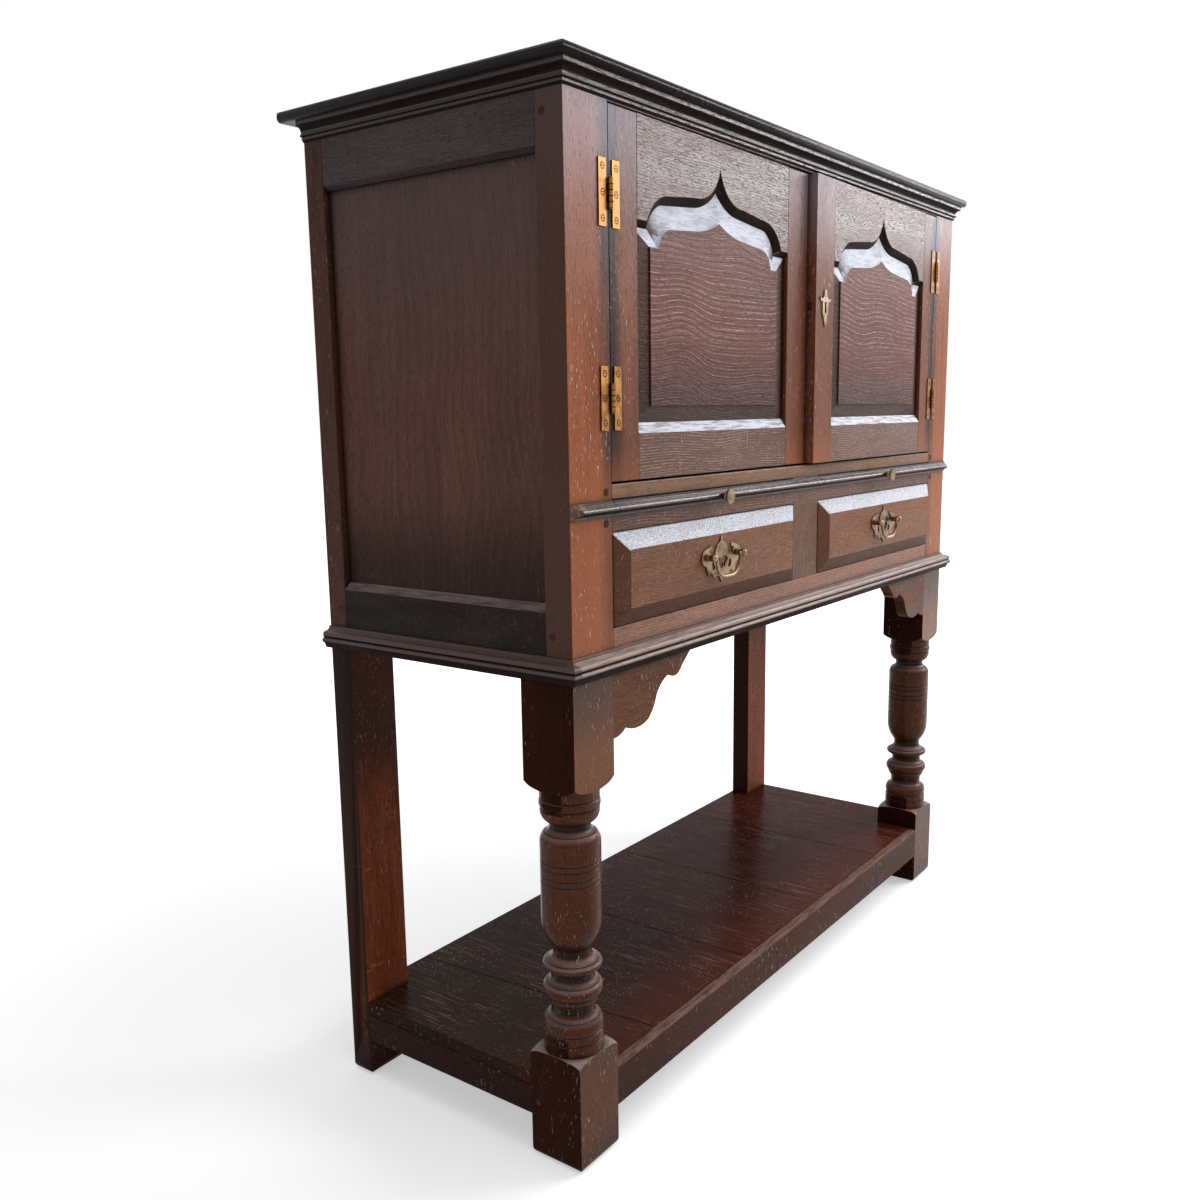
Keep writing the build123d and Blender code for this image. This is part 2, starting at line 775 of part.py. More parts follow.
def waist_profile():
    """Fillets above and below a half-round nose."""
    top = waist_top
    low = waist_top - waist_height
    nose = waist_projection - waist_nose_radius
    return [
        (0.0, top),
        (waist_fillet, top),
        (waist_fillet, top - waist_fillet),
        (nose, waist_middle + waist_nose_radius),
        ((waist_projection, waist_middle), (nose, waist_middle - waist_nose_radius)),
        (waist_fillet, low + waist_fillet),
        (waist_fillet, low),
        (0.0, low),
    ]


def waist_moulding():
    """Fixed pieces on the two stiles and the divider, bevelled back at the corners."""
    side = moulding_run(waist_profile(), -half_width, -inner_x)
    bevel = outline(floor_plane(slide_floor - waist_height), [
        (-half_width, 0.0),
        (-half_width + mitre_reach, -mitre_reach),
        (-half_width - mitre_reach, -mitre_reach)])
    side = side - extrude(bevel, amount=2 * waist_height + slide_opening_height, dir=(0, 0, 1))
    return [side, mirror_x(side), moulding_run(waist_profile(), -centre_x, centre_x)]


# ---------------------------------------------------------------- inside of the case
def cupboard_floor():
    """Board behind the sill, reaching back between the rear stiles."""
    wide = panel_inner_x - inner_play
    board = block(-wide, wide, front_stile_depth, rear_stile_y, floor_underside, door_floor)
    tail = rear_inner_x - inner_play
    return board + block(-tail, tail, rear_stile_y, back_boards_y, floor_underside, door_floor)


def inner_shelf():
    """Loose shelf across the cupboard."""
    wide = panel_inner_x - inner_play
    return block(-wide, wide, shelf_setback, rear_stile_y, shelf_top - shelf_thickness, shelf_top)


def shelf_cleat():
    """Left strip under the shelf."""
    top = shelf_top - shelf_thickness
    return block(-panel_inner_x, -panel_inner_x + cleat_size, shelf_setback, rear_stile_y,
                 top - cleat_size, top)


def back_boards():
    """Upright boards nailed across the back rails."""
    pitch = 2 * rear_inner_x / back_board_count
    boards = []
    for number in range(back_board_count):
        left = -rear_inner_x + number * pitch
        boards.append(block(left + back_board_gap / 2, left + pitch - back_board_gap / 2,
                            back_boards_y, case_depth, stand_height, case_top))
    return boards


def back_rail(z0, z1):
    """A rail between the rear stiles."""
    rail = block(-rear_inner_x, rear_inner_x, back_rails_y, back_boards_y, z0, z1)
    tenon = back_tenon(z0, z1)
    return rail + tenon + mirror_x(tenon)


def inner_bearers():
    """Runners, guides and kickers that carry the drawers and slides."""
    runner_inner = inner_x - runner_width
    rear = back_rails_y
    centre_wide = centre_x + runner_width
    sides = [
        block(-rail_inner_x, -runner_inner, front_stile_depth, rear_stile_y,
              drawer_floor - runner_thickness, drawer_floor),
        block(-rail_inner_x, -inner_x, front_stile_depth, rear_stile_y,
              drawer_floor, drawer_floor + guide_height),
        block(-panel_inner_x, -runner_inner, front_stile_depth, rear_stile_y, drawer_ceiling, slide_floor),
        block(-panel_inner_x, -inner_x, front_stile_depth, rear_stile_y, slide_floor, floor_underside),
    ]
    middle = [
        block(-centre_wide, centre_wide, front_stile_depth, rear,
              drawer_floor - runner_thickness, drawer_floor),
        block(-centre_x, centre_x, front_stile_depth, rear, drawer_floor, drawer_floor + guide_height),
        block(-centre_wide, centre_wide, front_stile_depth, back_boards_y, drawer_ceiling, slide_floor),
        block(-centre_x, centre_x, front_stile_depth, back_boards_y, slide_floor, floor_underside),
    ]
    return both_sides(*sides) + middle


# ---------------------------------------------------------------- stand
def leg_profile():
    """Radius and height of the turned leg, from the top down. Blocks are wider than their corners."""
    corner = leg_block / math.sqrt(2) + leg_corner_spare
    body = leg_body_radius
    points = [(0.0, stand_height), (corner, stand_height), (corner, leg_corner_z)]
    points += leg_upper_turning
    for z in leg_groove_z:
        points += [(body, z + leg_groove_half), (body - leg_groove_depth, z), (body, z - leg_groove_half)]
    points += leg_lower_turning
    out, down = leg_shoulder_flat
    bend_out, bend_down = leg_shoulder_bend
    points += [
        (body, leg_foot_z),
        (body + out, leg_foot_z - down),
        ((body + bend_out, leg_foot_z - bend_down), (corner, leg_foot_z - leg_shoulder_drop)),
        (corner, 0.0),
        (0.0, 0.0),
    ]
    return points


def worn_foot(leg):
    """A leg with the bottom edges of its foot rounded by wear."""
    return fillet(leg.edges().group_by(Axis.Z)[0], foot_wear)


def front_leg():
    """Left front leg: a square block at each end and a turned length between."""
    place = lambda radius, z: (-leg_axis_x + radius, leg_axis_y, z)
    turned = revolve(outline(place, leg_profile()), Axis((-leg_axis_x, leg_axis_y, 0), (0, 0, 1)))
    square = worn_foot(block(-half_width, -leg_inner_x, 0, leg_block, 0, stand_height))
    leg = square & turned
    mortises = [stand_front_tenon(), potboard_front_tenon()]
    mortises.append(stand_side_tenons(stand_rail_z, stand_height, stand_rail_thickness)[0])
    mortises.append(stand_side_tenons(potboard_rail_z, board_bottom, potboard_rail_thickness)[0])
    return cut(leg, mortises + side_pegs())


def rear_leg():
    """Left rear leg, a plain post. Its foot is worn most on the inner edge."""
    leg = worn_foot(block(-half_width, -rear_leg_inner_x, rear_leg_y, case_depth, 0, stand_height))
    place = lambda across, up: (-rear_leg_inner_x - across, rear_leg_y, up)
    leg = leg - extrude(outline(place, rear_foot_wear), amount=rear_leg_depth, dir=(0, 1, 0))
    mortises = [stand_rear_tenon(), potboard_rear_tenon()]
    mortises.append(stand_side_tenons(stand_rail_z, stand_height, stand_rail_thickness)[1])
    mortises.append(stand_side_tenons(potboard_rail_z, board_bottom, potboard_rail_thickness)[1])
    return cut(leg, mortises + side_pegs())


def stand_rails():
    """Front, rear and side rails under the case."""
    front = block(-leg_inner_x, leg_inner_x, 0, stand_rail_thickness, stand_rail_z, stand_height)
    front = front + stand_front_tenon() + mirror_x(stand_front_tenon())
    rear = block(-rear_leg_inner_x, rear_leg_inner_x, case_depth - stand_rail_thickness, case_depth,
                 stand_rail_z, stand_height)
    rear = rear + stand_rear_tenon() + mirror_x(stand_rear_tenon())
    side = block(-half_width, -half_width + stand_rail_thickness, leg_block, rear_leg_y,
                 stand_rail_z, stand_height)
    for tenon in stand_side_tenons(stand_rail_z, stand_height, stand_rail_thickness):
        side = side + tenon
    return [front, rear, side, mirror_x(side)]


def leg_bracket():
    """Left shaped bracket, falling from the rail to the leg."""
    place = lambda across, drop: (-leg_inner_x + across, 0.0, stand_rail_z - drop)
    return extrude(outline(place, bracket_outline), amount=bracket_thickness, dir=(0, 1, 0))


def potboard_front_rail():
    """Front rail, rebated behind for the boards and with a worn top arris."""
    rail = block(-leg_inner_x, leg_inner_x, 0, potboard_rail_thickness, potboard_rail_z, potboard_top)
    rail = rail - block(-leg_inner_x, leg_inner_x, potboard_rebate, potboard_rail_thickness,
                        board_bottom, potboard_top)
    arris = rail.edges().filter_by(Axis.X).group_by(Axis.Z)[-1].sort_by(Axis.Y)[0]
    rail = fillet(arris, potboard_arris)
    return rail + potboard_front_tenon() + mirror_x(potboard_front_tenon())


def potboard_rear_rail():
    """Rear rail under the boards."""
    rail = block(-rear_leg_inner_x, rear_leg_inner_x, case_depth - potboard_rail_thickness, case_depth,
                 potboard_rail_z, board_bottom)
    return rail + potboard_rear_tenon() + mirror_x(potboard_rear_tenon())


def potboard_side_rail():
    """Left side rail under the boards."""
    rail = block(-half_width, -half_width + potboard_rail_thickness, leg_block, rear_leg_y,
                 potboard_rail_z, board_bottom)
    for tenon in stand_side_tenons(potboard_rail_z, board_bottom, potboard_rail_thickness):
        rail = rail + tenon
    return cut(rail, side_pegs())


def potboard_boards():
    """Boards from front to back, cut round the legs at the ends. Their joints are not parallel."""
    corners = both_sides(
        block(-half_width - notch_play, -leg_inner_x + notch_play, 0, leg_block + notch_play,
              board_bottom, board_top),
        block(-half_width - notch_play, -rear_leg_inner_x + notch_play, rear_leg_y - notch_play, case_depth,
              board_bottom, board_top))
    lines = [(-half_width, -half_width)] + list(potboard_joints) + [(half_width, half_width)]
    boards = []
    for left, right in zip(lines, lines[1:]):
        face = outline(floor_plane(board_bottom), [
            (left[0] + potboard_gap / 2, potboard_rebate),
            (right[0] - potboard_gap / 2, potboard_rebate),
            (right[1] - potboard_gap / 2, case_depth),
            (left[1] + potboard_gap / 2, case_depth)])
        board = extrude(face, amount=potboard_board_thickness, dir=(0, 0, 1))
        boards.append(cut(board, corners))
    return boards


# ---------------------------------------------------------------- hinges
def screw_places(side):
    """Start and end of each screw of one leaf: side -1 is the case leaf, 1 the door leaf."""
    x = -inner_x + side * (hinge_leaf_gap + hinge_leaf_width) / 2
    places = []
    for centre in hinge_places:
        for lift in (-1, 0, 1):
            z = centre + lift * (hinge_height / 2 - screw_inset)
            places.append(((x, -hinge_leaf_thickness, z), (x, screw_length - hinge_leaf_thickness, z)))
    return places


def case_screw_places():
    """Screws of the left case leaves."""
    return screw_places(-1)


def countersink(place):
    """The hole in a leaf for one screw."""
    start, _ = place
    cone = Solid.make_cone(screw_head_radius, screw_shank_radius, hinge_leaf_thickness,
                           Plane(origin=start, z_dir=(0, 1, 0)))
    return cone


def screw(place):
    """One slotted countersunk screw."""
    start, end = place
    body = countersink(place) + rod(start, end, screw_shank_radius)
    x, y, z = start
    slot = block(x - screw_head_radius, x + screw_head_radius, y, y + screw_slot_depth,
                 z - screw_slot_width / 2, z + screw_slot_width / 2)
    return body - slot


def hinge_leaves(side):
    """The left leaves and their knuckles: side -1 is the case's pair, 1 the door's."""
    inset = hinge_leaf_gap / 2
    segment = hinge_barrel_length / knuckle_count
    leaves = []
    for centre in hinge_places:
        x_near = -inner_x + side * inset
        x_far = x_near + side * hinge_leaf_width
        leaf = block(min(x_near, x_far), max(x_near, x_far), -hinge_leaf_thickness, 0,
                     centre - hinge_height / 2, centre + hinge_height / 2)
        first = 0 if side < 0 else 1
        for number in range(first, knuckle_count, 2):
            low = centre - hinge_barrel_length / 2 + number * segment + knuckle_gap / 2
            high = low + segment - knuckle_gap
            strap = block(min(-inner_x, x_near), max(-inner_x, x_near), -hinge_leaf_thickness, 0, low, high)
            strap = strap - block(-inner_x - inset, -inner_x + inset, -hinge_face_gap, 0, low, high)
            leaf = leaf + strap + rod((-inner_x, hinge_y, low), (-inner_x, hinge_y, high),
                                      hinge_barrel_radius)
        leaf = leaf - rod((-inner_x, hinge_y, centre - hinge_height / 2),
                          (-inner_x, hinge_y, centre + hinge_height / 2),
                          hinge_pin_radius + hinge_running_clearance)
        leaves.append(cut(leaf, [countersink(place) for place in screw_places(side)]))
    return leaves + [screw(place) for place in screw_places(side)]


def hinge_pins():
    """The left pins, each with a small head at both ends."""
    pins = []
    for centre in hinge_places:
        half = hinge_barrel_length / 2
        pin = rod((-inner_x, hinge_y, centre - half), (-inner_x, hinge_y, centre + half), hinge_pin_radius)
        for end in (-1, 1):
            start = centre + end * half
            pin = pin + rod((-inner_x, hinge_y, start), (-inner_x, hinge_y, start + end * hinge_pin_radius),
                            pin_head_radius)
        pins.append(pin)
    return pins


# ---------------------------------------------------------------- doors (left one, closed)
def door_tenon(z0, z1, x, inwards):
    """A tenon of a door rail into a stile. inwards is the direction from the stile's edge."""
    y0 = tongue_back
    far = x + inwards * door_tenon_length
    return block(min(x, far), max(x, far), y0, y0 + door_tenon_thickness,
                 z0 + tenon_shoulder, z1 - tenon_shoulder)


def door_tenons():
    """Tenons into the hinge stile and into the meeting stile, for the bottom and top rails."""
    spans = ((door_bottom, door_opening_bottom), (door_shoulder_z, door_top))
    hinge = [door_tenon(z0, z1, -door_opening_left, -1) for z0, z1 in spans]
    meeting = [door_tenon(z0, z1, -door_opening_right, 1) for z0, z1 in spans]
    return hinge, meeting


def door_groove():
    """The space for the panel's tongue, square-topped behind the arched rail."""
    reach = panel_groove_depth
    return block(-door_opening_left - reach, -door_opening_right + reach, door_panel_recess, tongue_back,
                 door_opening_bottom - reach, door_shoulder_z + throat_cusp_rise + reach)


def door_hinge_stile():
    """Left door, outer stile."""
    stile = block(-door_outer_x, -door_opening_left, 0, door_thickness, door_bottom, door_top)
    holes = [rod(*place, screw_shank_radius) for place in screw_places(1)]
    return cut(stile, door_tenons()[0] + [door_groove()] + holes)


def door_meeting_stile():
    """Left door, inner stile."""
    stile = block(-door_opening_right, -door_inner_x, 0, door_thickness, door_bottom, door_top)
    return cut(stile, door_tenons()[1] + [door_groove()])


def door_bottom_rail():
    """Bottom rail, with a broad chamfer up to the panel."""
    rail = block(-door_opening_left, -door_opening_right, 0, door_thickness, door_bottom,
                 door_opening_bottom)
    hinge, meeting = door_tenons()
    rail = rail + hinge[0] + meeting[0] - door_groove()
    chamfer_face = outline(lambda y, z: (-door_opening_left, y, z), [
        (0.0, door_opening_bottom - door_bottom_chamfer),
        (0.0, door_opening_bottom),
        (door_panel_recess, door_opening_bottom)])
    return rail - extrude(chamfer_face, amount=2 * door_opening_half, dir=(1, 0, 0))


def arch_face(y):
    """The head of the opening at the door's face."""
    half = arch_half(door_opening_bottom, door_opening_half, arch_shoulder_inset, door_shoulder_z,
                     arch_lobe_middle, arch_lobe_end, arch_sweep_start, arch_sweep_middle, arch_cusp_rise)
    return mirrored_outline(front_plane(y), -door_opening_centre, half)


def throat_face(y):
    """The head of the opening where it meets the panel."""
    half = arch_half(door_opening_bottom, door_opening_half, throat_shoulder_inset,
                     door_shoulder_z - throat_drop,
                     throat_lobe_middle, throat_lobe_end, throat_sweep_start, throat_sweep_middle,
                     throat_cusp_rise)
    return mirrored_outline(front_plane(y), -door_opening_centre, half)


def field_face(y):
    """The raised field of the panel."""
    half = arch_half(door_opening_bottom + field_bottom_margin, door_opening_half - field_side_margin,
                     field_shoulder_inset, field_shoulder_z, field_lobe_middle, field_lobe_end,
                     field_sweep_start, field_sweep_middle, field_cusp_rise)
    return mirrored_outline(front_plane(y), -door_opening_centre, half)


def door_top_rail():
    """Arched top rail, chamfered round the arch and rebated behind it for the panel."""
    rail = block(-door_opening_left, -door_opening_right, 0, door_thickness,
                 door_shoulder_z - throat_drop, door_top)
    hinge, meeting = door_tenons()
    back_space = block(-door_opening_left, -door_opening_right, door_panel_recess, door_thickness,
                       door_shoulder_z - throat_drop, door_shoulder_z)
    head = loft([arch_face(0.0), throat_face(door_panel_recess)], ruled=True)
    throat = extrude(throat_face(door_panel_recess), amount=door_thickness, dir=(0, 1, 0))
    rail = cut(rail, [head, throat, door_groove(), back_space])
    return rail + hinge[1] + meeting[1]


def door_panel():
    """Panel with a tongue all round, a sloping margin and a raised field."""
    reach = panel_groove_depth - panel_play
    top = door_shoulder_z + throat_cusp_rise + reach
    tongue = block(-door_opening_left - reach, -door_opening_right + reach, door_panel_recess, tongue_back,
                   door_opening_bottom - reach, top)
    margin_front = field_recess + field_step
    margin = loft([throat_face(door_panel_recess), field_face(margin_front)], ruled=True)
    field = extrude(field_face(field_recess), amount=field_step, dir=(0, 1, 0))
    return tongue + margin + field


# ---------------------------------------------------------------- lock (right door, closed)
def keyhole(y0, y1):
    """A slot with round ends, from front to back."""
    half = keyhole_height / 2 - keyhole_width / 2
    middle = block(lock_x - keyhole_width / 2, lock_x + keyhole_width / 2, y0, y1,
                   lock_z - half, lock_z + half)
    for end in (-1, 1):
        z = lock_z + end * half
        middle = middle + rod((lock_x, y0, z), (lock_x, y1, z), keyhole_width / 2)
    return middle


def escutcheon_pins(extra=0.0):
    """Two round pins that hold the escutcheon."""
    return [rod((lock_x, -escutcheon_thickness - extra, lock_z + up),
                (lock_x, escutcheon_pin_end, lock_z + up), escutcheon_pin_radius)
            for up in escutcheon_pin_heights]


def escutcheon():
    """Pierced keyhole plate with a crown, a waist and a pointed foot."""
    face = mirrored_outline(lambda x, z: (x, -escutcheon_thickness, lock_z + z), lock_x, escutcheon_outline)
    plate = extrude(face, amount=escutcheon_thickness, dir=(0, 1, 0))
    heart = lock_z + escutcheon_heart
    pierced = [keyhole(-escutcheon_thickness, 0.0)]
    pierced.append(rod((lock_x, -escutcheon_thickness, heart), (lock_x, 0.0, heart), escutcheon_pin_radius))
    plate = cut(plate, pierced + escutcheon_pins())
    return [plate] + escutcheon_pins(escutcheon_pin_radius / 2)


def lock_case_box(grow=0.0):
    """The outside of the lock."""
    x0 = door_inner_x + lock_case_inset
    return block(x0 - grow, x0 + lock_case_width + grow, lock_case_front, lock_case_back,
                 lock_z - lock_case_height / 2 - grow, lock_z + lock_case_height / 2 + grow)


def bolt_front():
    """Front face of the bolt inside the lock."""
    return lock_case_front + lock_wall + bolt_play


def bolt_channel():
    """The way the bolt slides in, from the edge of the door into the lock."""
    y0 = bolt_front() - bolt_play
    return block(door_inner_x, door_inner_x + lock_case_inset + lock_case_width - lock_wall,
                 y0, y0 + bolt_thickness + 2 * bolt_play,
                 lock_z - bolt_height / 2 - bolt_play, lock_z + bolt_height / 2 + bolt_play)


def lock_case():
    """Lock let into the back of the meeting stile."""
    return cut(lock_case_box(), [bolt_channel(), keyhole(lock_case_front, lock_case_front + lock_wall)])


def lock_bolt():
    """Bolt, drawn back inside the edge of the door."""
    x0 = door_inner_x + bolt_setback
    return block(x0, x0 + bolt_length, bolt_front(), bolt_front() + bolt_thickness,
                 lock_z - bolt_height / 2, lock_z + bolt_height / 2)


def strike_mortise():
    """Pocket for the bolt in the left door's edge."""
    return block(-door_inner_x - strike_depth, -door_inner_x, strike_front, strike_front + strike_thickness,
                 lock_z - strike_height / 2, lock_z + strike_height / 2)


def lock_pocket():
    """What the lock and its fittings take out of the right meeting stile."""
    pocket = block(door_inner_x + lock_case_inset, door_inner_x + lock_case_inset + lock_case_width,
                   lock_case_front, door_thickness,
                   lock_z - lock_case_height / 2, lock_z + lock_case_height / 2)
    return [pocket, bolt_channel(), keyhole(0.0, lock_case_front)] + escutcheon_pins()


# ---------------------------------------------------------------- slides (left one)
def slide_board():
    """Writing slide: a thin board with the waist moulding along its front edge."""
    board = block(-slide_outer_x, -slide_inner_x, -slide_seat_gap, slide_depth,
                  slide_board_z, slide_board_z + slide_board_thickness)
    nosing = moulding_run(waist_profile(), -inner_x + slide_front_gap, -centre_x - slide_front_gap)
    return [cut(board, [knob_spigot()]), cut(Pos(0, -slide_seat_gap, 0) * nosing, [knob_spigot()])]


def knob_spigot():
    """The round end of the knob inside the wood."""
    front = -slide_seat_gap - waist_projection
    return rod((-bay_centre, front, waist_middle), (-bay_centre, front + knob_spigot_length, waist_middle),
               knob_spigot_radius)


def slide_knob():
    """Small turned pull."""
    front = -slide_seat_gap - waist_projection
    stages = (
        (knob_collar_radius, knob_collar_length),
        (knob_stem_radius, knob_stem_length),
        (knob_disc_radius, knob_disc_length),
    )
    knob = knob_spigot()
    for radius, length in stages:
        knob = knob + rod((-bay_centre, front, waist_middle), (-bay_centre, front - length, waist_middle),
                          radius)
        front -= length
    stem_middle = front + knob_disc_length + knob_stem_length / 2
    return knob + Pos(-bay_centre, stem_middle, waist_middle) * Sphere(knob_bulb_radius)


# ---------------------------------------------------------------- drawers (left one)
def drawer_side_boards():
    """The two sides, lapped into the front."""
    start = drawer_front_backing - drawer_lap
    outer = block(-drawer_outer_x, -drawer_outer_x + drawer_side_thickness, start, drawer_length,
                  drawer_bottom_z, drawer_top_z)
    inner = block(-drawer_inner_x - drawer_side_thickness, -drawer_inner_x, start, drawer_length,
                  drawer_bottom_z, drawer_top_z)
    return outer, inner


def drawer_bottom():
    """Bottom board, in grooves of the front and sides and under the back."""
    z0 = drawer_bottom_z + drawer_bottom_lift
    reach = drawer_side_thickness - drawer_groove_depth
    return block(-drawer_outer_x + reach, -drawer_inner_x - reach,
                 drawer_front_backing - drawer_groove_depth, drawer_length,
                 z0, z0 + drawer_bottom_thickness)


def drawer_front():
    """Front with a raised field between broad sloping margins."""
    backing = block(-drawer_outer_x, -drawer_inner_x, 0, drawer_front_backing, drawer_bottom_z, drawer_top_z)

    def rectangle(y, inset):
        return outline(front_plane(y), [
            (-drawer_outer_x + inset, drawer_bottom_z + inset),
            (-drawer_inner_x - inset, drawer_bottom_z + inset),
            (-drawer_inner_x - inset, drawer_top_z - inset),
            (-drawer_outer_x + inset, drawer_top_z - inset)])
    raised = loft([rectangle(0.0, 0.0), rectangle(-drawer_field_proud, drawer_bevel)], ruled=True)
    front = backing + raised
    return cut(front, list(drawer_side_boards()) + [drawer_bottom()] + post_shanks())


def drawer_box():
    """Sides and back."""
    outer, inner = drawer_side_boards()
    back = block(-drawer_outer_x + drawer_side_thickness, -drawer_inner_x - drawer_side_thickness,
                 drawer_length - drawer_back_thickness, drawer_length,
                 drawer_bottom_z + drawer_bottom_lift + drawer_bottom_thickness, drawer_top_z)
    return [outer - drawer_bottom(), inner - drawer_bottom(), back]


def post_places():
    """Where the two handle posts stand."""
    return [-bay_centre - post_spacing / 2, -bay_centre + post_spacing / 2]


def post_shanks():
    """The threaded ends of the posts through the drawer front."""
    end = drawer_front_backing + nut_thickness + post_end_proud
    return [rod((x, plate_y, handle_z), (x, end, handle_z), post_shank_radius) for x in post_places()]


def handle_plate():
    """Pierced back plate: a tongue with a finial, two round wings with horns and a pointed apron."""
    place = lambda x, z: (-bay_centre + x, plate_y, handle_z + z)
    depth = {"amount": plate_thickness, "dir": (0, 1, 0)}
    plate = extrude(mirrored_outline(place, 0.0, plate_tongue_outline), **depth)
    plate = plate + extrude(mirrored_outline(place, 0.0, plate_apron_outline), **depth)
    for side in (-1, 1):
        for across, up, radius in plate_wings:
            start = place(side * across, up)
            end = (start[0], start[1] + plate_thickness, start[2])
            plate = plate + rod(start, end, radius)
        horn = outline(place, [mirror_step(step, side) for step in plate_horn_outline])
        plate = plate + extrude(horn, **depth)
    for side in (-1, 1):
        for opening in plate_piercings:
            points = [mirror_step(step, side) for step in opening]
            plate = plate - extrude(outline(place, points), **depth)
    return cut(plate, post_shanks())


def mirror_step(step, side):
    """An outline step on the given side of the middle."""
    if isinstance(step[0], tuple):
        return tuple(mirror_step(point, side) for point in step)
    return (side * step[0], step[1])


def bail_eye(x):
    """The blind bore for the bail's pin, from the inner side of one post's ball."""
    inward = 1 if x < -bay_centre else -1
    end = bail_half_width + bail_pin_length + bail_end_play - post_spacing / 2
    return rod((x + inward * 2 * post_ball_radius, ball_y, handle_z), (x - inward * end, ball_y, handle_z),
               bail_inner_radius)


def ball(x, radius):
    """A ball on the bail's axis, with its seam away from the pins."""
    return Pos(x, ball_y, handle_z) * Rot(0, 0, 90) * Sphere(radius)


def handle_posts():
    """Two posts with ball ends, and the nuts behind the drawer front."""
    pieces = []
    for x, shank in zip(post_places(), post_shanks()):
        boss_end = (x, plate_y - post_boss_length, handle_z)
        post = shank + rod((x, plate_y, handle_z), boss_end, post_boss_radius)
        post = post + ball(x, post_ball_radius)
        pieces.append(post - bail_eye(x))
        nut = rod((x, drawer_front_backing, handle_z), (x, drawer_front_backing + nut_thickness, handle_z),
                  nut_radius)
        pieces.append(nut - shank)
    return pieces


def bail():
    """Drop handle: a rounded U whose ends turn out into the posts."""
    low = handle_z - bail_drop
    right = -bay_centre + bail_half_width
    left = -bay_centre - bail_half_width
    path = FilletPolyline((left, ball_y, handle_z), (left, ball_y, low), (right, ball_y, low),
                          (right, ball_y, handle_z), radius=bail_corner_radius)
    section = Plane(origin=(left, ball_y, handle_z), z_dir=(0, 0, -1)) * Circle(bail_rod_radius)
    loop = sweep(section, path=path)
    for x, outward in ((left, -1), (right, 1)):
        loop = loop + ball(x, bail_elbow_radius)
        loop = loop + rod((x, ball_y, handle_z), (x + outward * bail_pin_length, ball_y, handle_z),
                          bail_pin_radius)
    return loop


# ---------------------------------------------------------------- assembly
def swing(pieces, hinge_x, degrees):
    """Turn a door's pieces about its hinge pins."""
    axis = Axis((hinge_x, hinge_y, 0), (0, 0, 1))
    return [piece.rotate(axis, degrees) for piece in pieces]


def case_nodes():
    """The fixed case."""
    return {
        "top_board": [top_board()],
        "cornice_moulding": mitred_moulding(cornice_profile(), cornice_projection),
        "front_stiles": both_sides(front_stile()),
        "rear_stiles": both_sides(rear_stile()),
        "side_rails": both_sides(*side_rails()),
        "side_panels": both_sides(side_panel()),
        "head_rail": [front_rail("head")],
        "door_sill_rail": [front_rail("sill")],
        "drawer_top_rail": [drawer_top_rail()],
        "drawer_bottom_rail": [drawer_bottom_rail()],
        "drawer_muntin": [drawer_muntin()],
        "slide_divider": [slide_divider()],
        "waist_moulding": waist_moulding(),
        "base_moulding": mitred_moulding(base_profile(), base_projection),
        "cupboard_floor": [cupboard_floor()],
        "inner_shelf": [inner_shelf()],
        "shelf_cleats": both_sides(shelf_cleat()),
        "back_boards": back_boards(),
        "back_rails": [back_rail(*span) for span in back_rail_spans()],
        "inner_bearers": inner_bearers(),
        "frame_pegs": both_sides(*front_pegs(), *side_pegs()),
        "hinge_case_leaves": both_sides(*hinge_leaves(-1), *hinge_pins()),
    }


def stand_nodes():
    """The open stand under the case."""
    leg = front_leg()
    return {
        "front_leg_left": [leg],
        "front_leg_right": [mirror_x(leg)],
        "rear_legs": both_sides(rear_leg()),
        "stand_rails": stand_rails(),
        "leg_brackets": both_sides(leg_bracket()),
        "potboard_front_rear_rails": [potboard_front_rail(), potboard_rear_rail()],
        "potboard_side_rails": both_sides(potboard_side_rail()),
        "potboard_boards": potboard_boards(),
    }


def door_nodes():
    """Both doors, standing a little ajar as they hang."""
    pieces = {
        "hinge_stile": [door_hinge_stile()],
        "meeting_stile": [door_meeting_stile()],
        "top_rail": [door_top_rail()],
        "bottom_rail": [door_bottom_rail()],
        "panel": [door_panel()],
        "hinge_leaves": hinge_leaves(1),
    }
    left = dict(pieces)
    left["meeting_stile"] = [door_meeting_stile() - strike_mortise()]
    right = {name: [mirror_x(solid) for solid in solids] for name, solids in pieces.items()}
    right["meeting_stile"] = [cut(right["meeting_stile"][0], lock_pocket())]
    right["escutcheon"] = escutcheon()
    right["lock_case"] = [lock_case()]
    right["lock_bolt"] = [lock_bolt()]
    nodes = {}
    for name, solids in left.items():
        nodes["left_door_" + name] = swing(solids, -inner_x, left_door_ajar)
    for name, solids in right.items():
        nodes["right_door_" + name] = swing(solids, inner_x, right_door_ajar)
    return nodes


def bay_nodes():
    """Slides and drawers of both bays."""
    pieces = {
        "slide_board": slide_board(),
        "slide_knob": [slide_knob()],
        "drawer_front": [drawer_front()],
        "drawer_box": drawer_box(),
        "drawer_bottom": [drawer_bottom()],
        "drawer_handle": [handle_plate()] + handle_posts(),
        "drawer_bail": [bail()],
    }
    nodes = {}
    for name, solids in pieces.items():
        nodes["left_" + name] = solids
        nodes["right_" + name] = [mirror_x(solid) for solid in solids]
    return nodes


def export(nodes):
    """Write each node's solids, placed over the middle of the floor, to its own file."""
    os.makedirs("parts", exist_ok=True)
    for name, pieces in nodes.items():
        solids = []
        for piece in pieces:
            solids += (Pos(0, front_y, 0) * piece).solids()
        export_step(Compound(solids), os.path.join("parts", name + ".step"))


export({**case_nodes(), **stand_nodes(), **door_nodes(), **bay_nodes()})
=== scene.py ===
import json
import math

